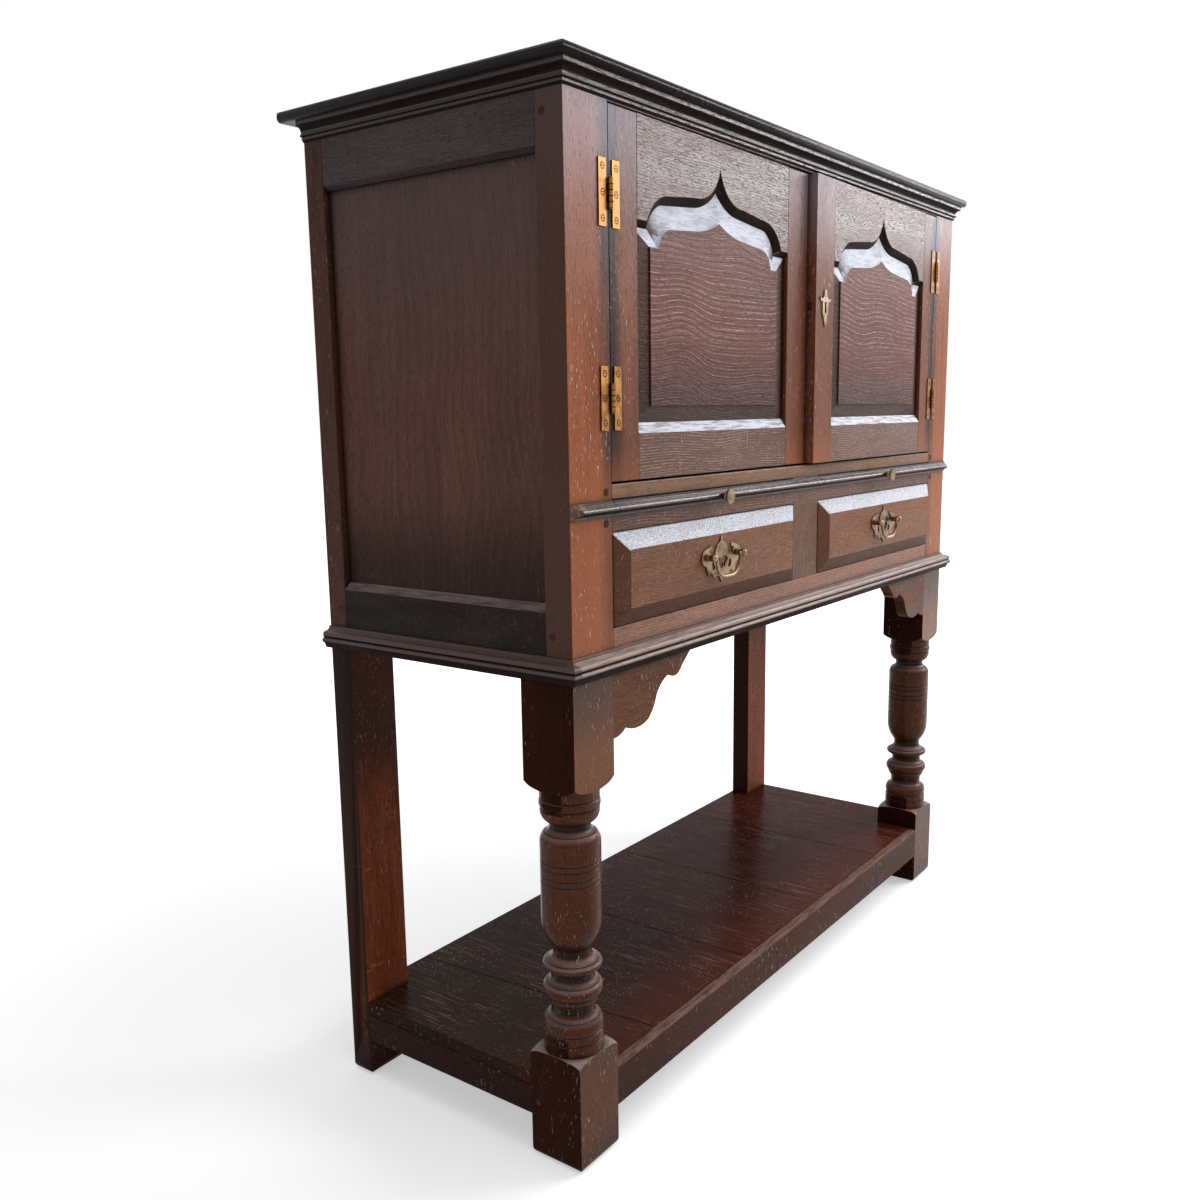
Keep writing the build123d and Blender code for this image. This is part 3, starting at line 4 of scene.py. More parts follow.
import bmesh
import bpy
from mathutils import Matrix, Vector


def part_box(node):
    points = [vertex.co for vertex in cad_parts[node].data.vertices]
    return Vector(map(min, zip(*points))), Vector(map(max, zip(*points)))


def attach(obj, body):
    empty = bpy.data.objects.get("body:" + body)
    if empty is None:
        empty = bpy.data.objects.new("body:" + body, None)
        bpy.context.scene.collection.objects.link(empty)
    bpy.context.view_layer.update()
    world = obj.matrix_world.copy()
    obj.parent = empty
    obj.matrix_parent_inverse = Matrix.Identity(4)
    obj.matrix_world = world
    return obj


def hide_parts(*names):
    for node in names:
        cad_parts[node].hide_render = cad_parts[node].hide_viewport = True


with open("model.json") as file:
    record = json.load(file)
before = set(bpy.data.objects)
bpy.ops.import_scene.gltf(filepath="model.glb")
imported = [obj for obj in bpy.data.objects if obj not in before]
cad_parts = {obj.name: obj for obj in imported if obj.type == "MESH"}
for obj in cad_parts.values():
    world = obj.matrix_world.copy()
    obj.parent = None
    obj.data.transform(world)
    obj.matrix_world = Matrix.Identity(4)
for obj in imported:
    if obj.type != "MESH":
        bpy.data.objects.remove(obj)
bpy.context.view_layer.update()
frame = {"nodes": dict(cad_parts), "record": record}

NODES = frame["nodes"]
BODIES = frame["record"]["behaviour"]["bodies"]
BODY_OF = {node: body for body, members in BODIES.items() for node in members}
scene = bpy.context.scene
scene.view_settings.view_transform = "Standard"

# ---------------------------------------------------------------- camera
FOCAL_LENGTH = 34.25
SENSOR_WIDTH = 36.0
LENS_SHIFT = (0.0043, 0.0115)
CAMERA_PLACE = (-1.65706, -1.03101, 0.97264)
CAMERA_TURN = (0.682273, 0.576899, -0.283601, -0.348227)
FARTHEST_SEEN = 60.0

camera_data = bpy.data.cameras.new("camera")
camera_data.lens = FOCAL_LENGTH
camera_data.sensor_width = SENSOR_WIDTH
camera_data.shift_x, camera_data.shift_y = LENS_SHIFT
camera_data.clip_end = FARTHEST_SEEN
camera = bpy.data.objects.new("camera", camera_data)
camera.rotation_mode = "QUATERNION"
camera.location = CAMERA_PLACE
camera.rotation_quaternion = CAMERA_TURN
scene.collection.objects.link(camera)
scene.camera = camera

# ---------------------------------------------------------------- places that the finishes follow
CASE_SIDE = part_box("front_stiles")[1][0]
HINGE_LINE = -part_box("left_door_hinge_stile")[0][0]
HINGE_HALF_HEIGHT = 0.038
HINGE_LOW, HINGE_HIGH = (corner[2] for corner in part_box("left_door_hinge_leaves"))
HINGE_HEIGHTS = (HINGE_LOW + HINGE_HALF_HEIGHT, HINGE_HIGH - HINGE_HALF_HEIGHT)
HINGE_SCREW_RISE = 0.029
HINGE_SCREW_ASIDE = 0.01355
SCREW_RADIUS = 0.0035
KNUCKLE_REACH = 0.005
KNUCKLE_GAPS = (0.0033, 0.0099)

# Hollows of the leg's turning that hold black wax, as (height, reach)
LEG_HOLLOWS = ((0.4948, 0.0016), (0.4836, 0.0016), (0.4600, 0.0090), (0.4128, 0.0018), (0.4048, 0.0018),
               (0.3934, 0.0018), (0.3852, 0.0018), (0.2920, 0.0110), (0.2765, 0.0026), (0.2590, 0.0070),
               (0.2464, 0.0026), (0.2290, 0.0026), (0.2130, 0.0070), (0.1986, 0.0026), (0.1809, 0.0020),
               (0.1693, 0.0018))
# The turning of a front leg stands between the block at its head and the block at its foot
LEG_HEAD_BLOCK = 0.5
LEG_FOOT_BLOCK = 0.16
LEG_MIDDLE = 0.33

# Joints between the boards, and how much redder each board is than the one to its left
BOARD_JOINTS = ((-0.4385, 0.0), (-0.162, 0.25), (0.091, 0.1), (0.35, 0.3))


# ---------------------------------------------------------------- finishes
def tone(red, green, blue):
    """A colour as it looks on screen, 0 to 255, made linear."""
    def linear(value):
        value /= 255
        return value / 12.92 if value <= 0.04045 else ((value + 0.055) / 1.055) ** 2.4
    return linear(red), linear(green), linear(blue), 1.0


def shade(colour, red, green, blue):
    """A darker or lighter version of a colour."""
    return colour[0] * red, colour[1] * green, colour[2] * blue, 1.0


class Nodes:
    """The nodes of a material or a world."""

    def __init__(self, owner):
        owner.use_nodes = True
        self.tree = owner.node_tree
        self.tree.nodes.clear()

    def add(self, kind, inputs=None, **settings):
        """A node with its settings, and its sockets set or linked."""
        node = self.tree.nodes.new("ShaderNode" + kind)
        for key, value in settings.items():
            setattr(node, key, value)
        for socket, value in (inputs or {}).items():
            if isinstance(value, bpy.types.NodeSocket):
                self.tree.links.new(value, node.inputs[socket])
            else:
                node.inputs[socket].default_value = value
        return node

    def math(self, operation, first, second=0.0, third=0.0):
        """The result of one sum; first, second and third are numbers or sockets."""
        return self.add("Math", {0: first, 1: second, 2: third}, operation=operation).outputs[0]

    def times(self, first, second):
        return self.math("MULTIPLY", first, second)

    def size_of(self, value):
        return self.math("ABSOLUTE", value)

    def gap(self, first, second):
        """How far first is from second, either way."""
        return self.size_of(self.math("SUBTRACT", first, second))

    def ramp(self, value, low, high, out_low=0.0, out_high=1.0):
        """value from low..high to out_low..out_high, eased and kept inside."""
        return self.add("MapRange", {0: value, 1: low, 2: high, 3: out_low, 4: out_high}, clamp=True,
                        interpolation_type="SMOOTHSTEP").outputs[0]

    def near(self, value, middle, reach):
        """1 where value is at middle, 0 from reach away."""
        return self.ramp(self.gap(value, middle), 0.45 * reach, reach, 1.0, 0.0)

    def seen_directly(self):
        """1 for the rays that should meet a white background."""
        path = self.add("LightPath").outputs
        seen = self.math("MAXIMUM", path["Is Camera Ray"], path["Is Glossy Ray"])
        return self.math("MAXIMUM", seen, path["Is Transmission Ray"])


class Finish(Nodes):
    """One material: a colour and a relief, built up in layers."""

    def __init__(self, name):
        self.material = bpy.data.materials.new(name)
        super().__init__(self.material)
        coordinates = self.add("TexCoord").outputs
        self.place = coordinates["Object"]
        self.x, self.y, self.z = self.add("SeparateXYZ", {0: self.place}).outputs
        across, _, self.up = self.add("SeparateXYZ", {0: coordinates["Normal"]}).outputs
        self.sideways = self.size_of(across)
        self.left = self.math("MULTIPLY", across, -1.0)
        self.height = 0.0
        self.rough = 0.4

    def noise(self, vector, scale=1.0, detail=3.0, rough=0.55, distortion=0.0):
        """Cloudy noise, about 0.5 on the whole."""
        return self.add("TexNoise", {"Vector": vector, "Scale": scale, "Detail": detail, "Roughness": rough,
                                     "Distortion": distortion}).outputs["Fac"]

    def cells(self, vector, scale=1.0):
        """How far a point is from the nearest of many scattered ones, in cells."""
        return self.add("TexVoronoi", {"Vector": vector, "Scale": scale}).outputs["Distance"]

    def turned(self, rotation, scale, offset=0.0):
        """Object coordinates turned and scaled."""
        return self.add("Mapping", {"Vector": self.place, "Rotation": rotation, "Scale": scale,
                                    "Location": (offset, 0.7 * offset, 0.4 * offset)}).outputs["Vector"]

    def stops(self, value, stops):
        """A colour ramp with (position, colour) stops."""
        node = self.add("ValToRGB", {0: value})
        elements = node.color_ramp.elements
        while len(elements) < len(stops):
            elements.new(0.5)
        for element, (position, colour) in zip(elements, stops):
            element.position = position
            element.color = colour
        return node.outputs["Color"]

    def layer(self, mask, colour, share=1.0):
        """Another colour over the ones so far, where mask is 1."""
        if share != 1.0:
            mask = self.times(mask, share)
        self.colour = self.add("Mix", {0: mask, 6: self.colour, 7: colour}, data_type="RGBA").outputs[2]

    def raise_by(self, value, amount):
        """Raise the surface, or sink it, where value is 1."""
        self.height = self.math("MULTIPLY_ADD", value, amount, self.height)

    def painted_corner_shade_and_dirt(self, reach, colour, share, open_from=0.85):
        """Darkening where surfaces meet: painted shade from ambient occlusion, with old grime."""
        # Ambient occlusion painted into the colour as shade, taken also for grime.
        corner = self.add("AmbientOcclusion", {"Distance": reach}, samples=2).outputs["AO"]
        self.layer(self.ramp(corner, 0.35, open_from, share, 0.0), colour)

    def done(self, specular, relief, metallic=0.0):
        """The finished material. relief is the depth in metres of a height of 1."""
        bump = self.add("Bump", {"Height": self.height, "Distance": relief, "Strength": 1.0}).outputs[0]
        self.output({"Base Color": self.colour, "Roughness": self.rough, "Normal": bump,
                     "Specular IOR Level": specular, "Metallic": metallic})
        return self.material

    def output(self, settings):
        shader = self.add("BsdfPrincipled", settings)
        self.add("OutputMaterial", {"Surface": shader.outputs[0]})


class Oak(Finish):
    """Old waxed oak. grain is the direction of its fibres."""

    FIGURE_SHARE = 0.36
    BROAD_SHARE = 0.5
    FIBRE_SHARE = 0.56
    AVERAGE = 0.5 * (FIGURE_SHARE + BROAD_SHARE + FIBRE_SHARE)

    def __init__(self, name, grain, colour, seed, contrast):
        super().__init__(name)
        self.grain = grain
        self.seed = seed
        self.dark = shade(colour, 0.36, 0.32, 0.32)
        self.broad = self.noise(self.stretched(6.0, 2.2), detail=3.0)
        self.figure = self.noise(self.stretched(46.0, 3.4, 3.0), detail=4.0, rough=0.6, distortion=0.5)
        self.fibre = self.noise(self.stretched(430.0, 34.0), detail=3.0, rough=0.62)
        mixed = self.times(self.broad, self.BROAD_SHARE)
        mixed = self.math("MULTIPLY_ADD", self.figure, self.FIGURE_SHARE, mixed)
        mixed = self.math("MULTIPLY_ADD", self.fibre, self.FIBRE_SHARE, mixed)
        spread = 0.17 / contrast
        light = shade(colour, 1.7, 1.65, 1.6)
        self.colour = self.stops(mixed, [(self.AVERAGE - spread, self.dark), (self.AVERAGE, colour),
                                         (self.AVERAGE + spread, light)])
        self.pores = self.ramp(self.noise(self.stretched(1000.0, 95.0), detail=2.0), 0.55, 0.67)
        self.layer(self.pores, self.dark, 0.65)
        self.raise_by(self.fibre, 0.35)
        self.raise_by(self.pores, -0.5)
        self.raise_by(self.noise(self.stretched(26.0, 5.0, 1.0), detail=2.0), 1.4)

    def stretched(self, across, along, offset=0.0):
        """Object coordinates scaled across and along the grain."""
        scale = [across, across, across]
        scale["XYZ".index(self.grain)] = along
        return self.turned((0.0, 0.0, 0.0), scale, self.seed + offset)

    def waves(self, axis, spacing, drift, colour, share, where=1.0, thin=0.5, seed=5.0, deep=0.34):
        """Growth rings as broken lines, irregularly spaced, that wander by drift across the piece.

        The lines show where the wave is over thin, and deep is how dark the wood is between them.
        """
        swing = self.noise(self.stretched(5.0, 7.5, seed), detail=0.0)
        crowd = self.noise(self.stretched(38.0, 2.0, seed + 1.0), detail=2.0)
        turn = 2 * math.pi / spacing
        phase = self.math("MULTIPLY_ADD", swing, drift * turn * 4, self.times(axis, turn))
        wave = self.math("SINE", self.math("MULTIPLY_ADD", crowd, 9.0, phase))
        broken = self.noise(self.stretched(560.0, 80.0, seed + 2.0), detail=2.0)
        faded = self.noise(self.stretched(70.0, 9.0, seed + 3.0), detail=2.0)
        whole = self.times(self.ramp(broken, 0.38, 0.56), self.ramp(faded, 0.36, 0.6, 0.25, 1.0))
        lines = self.times(self.ramp(wave, thin, 0.98), whole)
        self.layer(self.ramp(wave, -1.0, 0.2, deep, 0.0), self.dark)
        self.layer(self.times(lines, where), colour, share)
        self.raise_by(lines, -0.6)

    def glints(self, share, colour):
        """Painted highlights: short pale dashes where the polish catches the light on the grain."""
        dashes = self.ramp(self.noise(self.stretched(820.0, 150.0, 12.0), detail=1.5), 0.64, 0.72)
        patch = self.ramp(self.broad, 0.38, 0.62, 0.35, 1.0)
        self.layer(self.times(dashes, patch), colour, share)

    def flecks(self, share, colour):
        """Medullary rays, as short pale flames across the grain."""
        rays = self.noise(self.stretched(34.0, 150.0, 8.0), detail=1.5, distortion=0.9)
        patch = self.ramp(self.noise(self.stretched(14.0, 7.0, 9.0), detail=1.0), 0.5, 0.66)
        self.layer(self.times(self.ramp(rays, 0.6, 0.68), patch), colour, share)

    def knocks(self, share, colour):
        """Dents, nicks and fine scratches, paler than the polish, each dent with a painted dark shadow
        round it.
        """
        cells = self.cells(self.stretched(120.0, 46.0, 2.0))
        patch = self.ramp(self.noise(self.stretched(13.0, 9.0, 9.0), detail=2.0), 0.42, 0.58)
        # Painted shadow: a dark ring round each dent.
        self.layer(self.times(self.ramp(cells, 0.12, 0.22, 1.0, 0.0), patch), self.dark, 0.45)
        worn = self.times(self.ramp(cells, 0.06, 0.13, 1.0, 0.0), patch)
        for turn in ((0.5, 0.75, 0.0), (-0.8, -1.05, 0.0)):
            lines = self.noise(self.turned(turn, (330.0, 330.0, 75.0), self.seed), detail=1.0)
            worn = self.math("MAXIMUM", worn, self.times(self.ramp(lines, 0.7, 0.735), patch))
        self.layer(worn, colour, share)
        self.raise_by(worn, -0.7)

    def worn_arrises(self, share, colour):
        """Rubbed edges, from the arris attribute of a softened piece."""
        edge = self.add("Attribute", attribute_name="arris").outputs["Fac"]
        chipped = self.ramp(self.noise(self.place, 75.0, 3.0), 0.4, 0.62)
        self.layer(self.times(edge, chipped), colour, share)

    def wax_sheen_and_underside_shade(self, wax_and_painted_sheen, colour, underside_shade, across, along, least):
        """Pale wax and dust with a painted sheen of reflected sky on slopes that face up, and painted shade
        with grime on slopes that face down.
        """
        streaks = self.noise(self.stretched(across, along, 4.0), detail=3.0)
        streaks = self.ramp(streaks, 0.36, 0.56, least, 1.0)
        if wax_and_painted_sheen:
            # Painted reflection: the pale layer on up-facing slopes is wax and dust with a painted sheen of
            # sky.
            mask = self.times(self.ramp(self.up, 0.05, 0.14), streaks)
            self.layer(mask, colour, wax_and_painted_sheen)
            self.rough = self.math("MULTIPLY_ADD", mask, 0.2, self.rough)
        # Painted shade, with grime, on slopes that face down.
        self.layer(self.ramp(self.up, -0.5, -0.2, underside_shade, 0.0), self.dark)


def oak(name, grain, colour, seed, rough=(0.3, 0.44), specular=0.2, contrast=0.6, marks=0.5, glints=0.3,
        wax_and_painted_sheen=0.0, wax_and_sheen_tone=(232, 235, 246), wax_and_sheen_grain=(260.0, 26.0), wax_and_sheen_least=0.3, underside_shade=0.6, side_shade=None,
        corner_shade_and_dirt_share=0.9, relief=0.0005, arris=0.5, figure=None):
    """A finished oak. rough is its range of roughness, marks, glints, wax_and_painted_sheen,
    underside_shade, corner_shade_and_dirt_share and arris are the shares of its layers, glints being
    painted highlights, side_shade is the colour of the painted shade on its left and right faces, and
    figure adds what is special to one piece."""
    f = Oak(name, grain, colour, seed, contrast)
    f.rough = f.math("MULTIPLY_ADD", f.pores, 0.1, f.ramp(f.figure, 0.3, 0.7, *rough))
    if figure:
        figure(f)
    # Painted highlights: pale glints on the grain.
    f.glints(glints, tone(196, 172, 158))
    f.knocks(marks, tone(200, 172, 160))
    f.worn_arrises(arris, tone(168, 124, 98))
    # Painted shade from ambient occlusion, with grime, in the corners.
    f.painted_corner_shade_and_dirt(0.009, tone(14, 8, 7), corner_shade_and_dirt_share)
    # Painted sky sheen with the wax on up-facing slopes, painted shade on down-facing ones.
    f.wax_sheen_and_underside_shade(wax_and_painted_sheen, tone(*wax_and_sheen_tone), underside_shade, *wax_and_sheen_grain, wax_and_sheen_least)
    # Painted shade on the left and right faces.
    if side_shade:
        returns = f.ramp(f.size_of(f.x), CASE_SIDE + 0.0002, CASE_SIDE + 0.0012)
        f.layer(f.math("MAXIMUM", f.ramp(f.sideways, 0.6, 0.9), returns), side_shade, 0.88)
    return f.done(specular, relief)


def hinge_stain_and_top_sheen(f):
    """The joint between stile and door, blackened round the hinges, a painted sheen of reflected sky near
    the top, and a warmer orange lower down.
    """
    away = f.gap(f.size_of(f.x), HINGE_LINE)
    blotch = f.ramp(f.noise(f.stretched(50.0, 5.0, 11.0), detail=3.0), 0.3, 0.55, 0.5, 1.0)
    f.layer(f.times(f.ramp(away, 0.008, 0.030, 1.0, 0.0), blotch), tone(30, 21, 18), 0.92)
    # Painted sheen: the top is lightened to the grey-lavender of a sky reflection.
    f.layer(f.ramp(f.z, 1.17, 1.34), tone(182, 176, 188), 0.45)
    f.layer(f.ramp(f.z, 0.87, 0.95, 0.5, 0.0), tone(168, 96, 58))


def behind_front(f, name):
    """How far a point is behind the broad front of a piece, which stands at its door's own angle."""
    faces = bpy.data.objects[name].data.polygons
    front = max((face for face in faces if face.normal.y < -0.9), key=lambda face: face.area)
    across, away, _ = front.normal
    reach = f.math("MULTIPLY_ADD", f.x, -across, front.center.dot(front.normal))
    return f.math("MULTIPLY_ADD", f.y, -away, reach)


def panel_rings(name):
    """The slow wavy rings of one door's panel, whose sunk border is darker than its field."""
    def rings(f):
        low, high = (corner[2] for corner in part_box(name))
        f.layer(f.ramp(f.z, low + 0.02, low + 0.13, 1.0, 0.0), tone(50, 38, 37), 0.8)
        f.waves(f.z, 0.0042, 0.012, tone(190, 158, 150), 0.34, thin=0.5, seed=31.0)
        middle = f.near(f.z, low + 0.56 * (high - low), 0.085)
        clearest = f.math("MULTIPLY_ADD", middle, 0.85, 0.12)
        f.waves(f.z, 0.0078, 0.012, tone(218, 196, 194), 0.62, clearest, thin=0.86, seed=31.0, deep=0.4)
        f.layer(f.ramp(behind_front(f, name), 0.0005, 0.0015), tone(60, 39, 32), 0.78)
    return rings


def rail_ripple(f):
    """The fine ripple of a door rail."""
    f.waves(f.z, 0.0036, 0.004, tone(196, 172, 160), 0.3, thin=0.3)


def rubbed_ends(f):
    """The waist moulding, rubbed to bare oak at its left and right ends."""
    end = f.ramp(f.size_of(f.x), 0.55, 0.6)
    rubbed = f.ramp(f.noise(f.place, 60.0, 3.0), 0.42, 0.6)
    f.layer(f.times(end, rubbed), tone(150, 98, 64), 0.75)


def drawer_ripple_and_left_shade(f):
    """Fine ripple, and painted shade on the slope at the drawer front's left."""
    f.waves(f.z, 0.003, 0.003, tone(176, 136, 112), 0.25, thin=0.3)
    # Painted shade on slopes that face left.
    f.layer(f.ramp(f.left, 0.1, 0.3), tone(62, 40, 32), 0.4)


def side_rings_and_top_sheen(f):
    """Broad faint arcs up the side panels, grey above with a painted sheen, and black at the foot."""
    f.waves(f.y, 0.016, 0.012, tone(132, 88, 66), 0.1, thin=-0.2, deep=0.16)
    low, high = (corner[2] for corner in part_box("side_panels"))
    # Painted sheen: the upper part greyed as by a sky reflection.
    f.layer(f.ramp(f.z, high - 0.3, high), tone(88, 76, 76), 0.55)
    f.layer(f.ramp(f.z, low + 0.02, low + 0.16, 1.0, 0.0), tone(24, 12, 9), 0.75)


def side_rail_darker_low(f):
    """The lower side rails are nearly black, with a red middle."""
    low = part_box("side_rails")[0][2]
    cloud = f.ramp(f.noise(f.stretched(18.0, 5.0, 3.0), detail=2.0), 0.35, 0.65, 1.0, 0.75)
    # Nearly black along the lower edge of the rails.
    f.layer(f.times(f.ramp(f.z, low + 0.06, low + 0.075, 1.0, 0.0), cloud), tone(20, 7, 4), 0.85)


def turned_hollows_and_highlights(f):
    """Black wax in the turning's hollows, painted highlights on its shoulders, an olive head and a dusty
    foot.
    """
    block = f.ramp(f.z, LEG_HEAD_BLOCK, LEG_HEAD_BLOCK + 0.015)
    foot = f.ramp(f.z, LEG_FOOT_BLOCK - 0.01, LEG_FOOT_BLOCK, 1.0, 0.0)
    f.layer(f.math("MULTIPLY_ADD", foot, 0.15, f.times(block, 0.7)), tone(128, 78, 46))
    hollows = 0.0
    for height, reach in LEG_HOLLOWS:
        hollows = f.math("MAXIMUM", hollows, f.near(f.z, height, reach))
    blotch = f.ramp(f.noise(f.place, 50.0, 3.0), 0.3, 0.6, 0.7, 1.0)
    f.layer(f.times(hollows, blotch), tone(14, 8, 6), 0.93)
    # Painted highlight: pale on the up-facing shoulders of the turning.
    shoulder_highlight = f.times(f.ramp(f.up, 0.25, 0.7), f.near(f.z, LEG_MIDDLE, 0.22))
    f.layer(shoulder_highlight, tone(158, 128, 120), 0.5)
    f.layer(f.times(block, f.ramp(f.z, 0.55, 0.63)), tone(58, 44, 34), 0.7)
    f.layer(f.ramp(f.z, 0.0, 0.06, 1.0, 0.0), tone(40, 28, 20), 0.6)
    dust = f.times(f.ramp(f.up, 0.15, 0.5), f.near(f.z, LEG_FOOT_BLOCK - 0.01, 0.02))
    uneven = f.ramp(f.noise(f.place, 120.0, 4.0), 0.34, 0.56, 0.4, 1.0)
    f.layer(f.times(dust, uneven), tone(158, 146, 138), 0.8)


def board_scratches(f):
    """Boards of different depths of colour, years of scratches, and dust in the scratches."""
    redder = 0.0
    for joint, share in BOARD_JOINTS:
        redder = f.math("MULTIPLY_ADD", f.ramp(f.x, joint - 0.001, joint + 0.001), share, redder)
    f.layer(redder, tone(80, 24, 15), 0.7)
    f.layer(f.ramp(f.x, -0.5, -0.3, 1.0, 0.0), tone(46, 34, 22), 0.5)
    f.layer(f.ramp(f.y, -0.2, -0.05, 0.5, 0.0), tone(92, 40, 26))
    patch = f.ramp(f.noise(f.place, 7.0, 3.0), 0.42, 0.6)
    for number, angle in enumerate((0.25, 1.1, 1.75, 2.6)):
        lines = f.noise(f.turned((0.0, 0.0, angle), (360.0, 11.0, 1.0), 3.0 * number), detail=1.0)
        scratch = f.times(f.ramp(lines, 0.68, 0.73), patch)
        f.layer(scratch, tone(150, 104, 88), 0.55)
        f.raise_by(scratch, -0.6)
    specks = f.cells(f.place, 150.0)
    thick = f.times(f.ramp(f.noise(f.place, 16.0, 3.0), 0.46, 0.62), f.ramp(f.x, -0.45, 0.3, 1.0, 0.35))
    f.layer(f.times(f.ramp(specks, 0.07, 0.15, 1.0, 0.0), thick), tone(176, 150, 136), 0.8)


def rear_leg_rays(f):
    """Ray flecks, with the head and the foot darker."""
    f.flecks(0.6, tone(178, 88, 40))
    f.layer(f.ramp(f.z, 0.4, 0.53), tone(36, 27, 20), 0.7)
    f.layer(f.ramp(f.z, 0.0, 0.11, 1.0, 0.0), tone(16, 10, 8), 0.85)


def screw_dirt(f):
    """Black round the screws of the hinges and between their knuckles."""
    aside = f.gap(f.size_of(f.x), HINGE_LINE)
    up = f.math("MINIMUM", *(f.gap(f.z, height) for height in HINGE_HEIGHTS))
    nearest = f.math("MINIMUM", up, f.gap(up, HINGE_SCREW_RISE))
    across = f.math("SUBTRACT", aside, HINGE_SCREW_ASIDE)
    away = f.math("SQRT", f.math("ADD", f.times(across, across), f.times(nearest, nearest)))
    ring = f.near(away, SCREW_RADIUS, 0.0012)
    inside = f.ramp(away, SCREW_RADIUS - 0.0007, SCREW_RADIUS - 0.0002, 1.0, 0.0)
    slot = f.times(f.ramp(nearest, 0.0004, 0.0007, 1.0, 0.0), inside)
    gaps = f.math("MAXIMUM", *(f.near(up, gap, 0.0009) for gap in KNUCKLE_GAPS))
    gaps = f.times(gaps, f.ramp(aside, KNUCKLE_REACH - 0.0005, KNUCKLE_REACH + 0.0005, 1.0, 0.0))
    f.layer(f.math("MAXIMUM", ring, f.math("MAXIMUM", slot, gaps)), tone(26, 16, 9), 0.9)


def panel_oak(name, panel):
    """The oak of one door's panel."""
    return oak(name, "X", PANEL, 8.0, specular=0.08, contrast=0.45, marks=0.2, wax_and_painted_sheen=0.95,
               wax_and_sheen_grain=(120.0, 30.0), wax_and_sheen_least=0.72, figure=panel_rings(panel))


def brass(name, colour, rough, corner_shade_and_tarnish, contrast=1.0, figure=None):
    """Brass: brighter where it is rubbed, brown where it isn't."""
    f = Finish(name)
    cloud = f.noise(f.place, 60.0, 4.0, 0.6)
    fine = f.noise(f.place, 900.0, 2.0)
    mixed = f.math("MULTIPLY_ADD", fine, 0.2, f.times(cloud, 0.85))
    average = 0.52
    spread = 0.16 / contrast
    f.colour = f.stops(mixed, [(average - spread, shade(colour, 0.45, 0.42, 0.4)), (average, colour),
                               (average + spread, shade(colour, 1.5, 1.5, 1.5))])
    if figure:
        figure(f)
    # Painted shade from ambient occlusion, with tarnish, in the corners.
    f.painted_corner_shade_and_dirt(0.004, tone(30, 18, 9), corner_shade_and_tarnish)
    f.raise_by(cloud, 1.0)
    f.raise_by(fine, 0.4)
    f.rough = f.ramp(cloud, 0.35, 0.65, *rough)
    return f.done(0.5, 0.00035, metallic=1.0)


STILE = tone(150, 82, 46)
DOOR_STILE = tone(122, 72, 50)
RAIL = tone(100, 66, 52)
PANEL = tone(120, 69, 56)
DRAWER = tone(130, 80, 50)
SILL = tone(134, 96, 68)
MUNTIN = tone(106, 74, 54)
SIDE = tone(98, 66, 56)
# Painted shade for faces that look left and right.
PAINTED_SIDE_SHADE = tone(58, 38, 32)
LEG = tone(78, 40, 18)
REAR = tone(114, 58, 36)
BOARD = tone(44, 21, 12)
SLAB = tone(38, 31, 31)
INSIDE = tone(146, 106, 72)
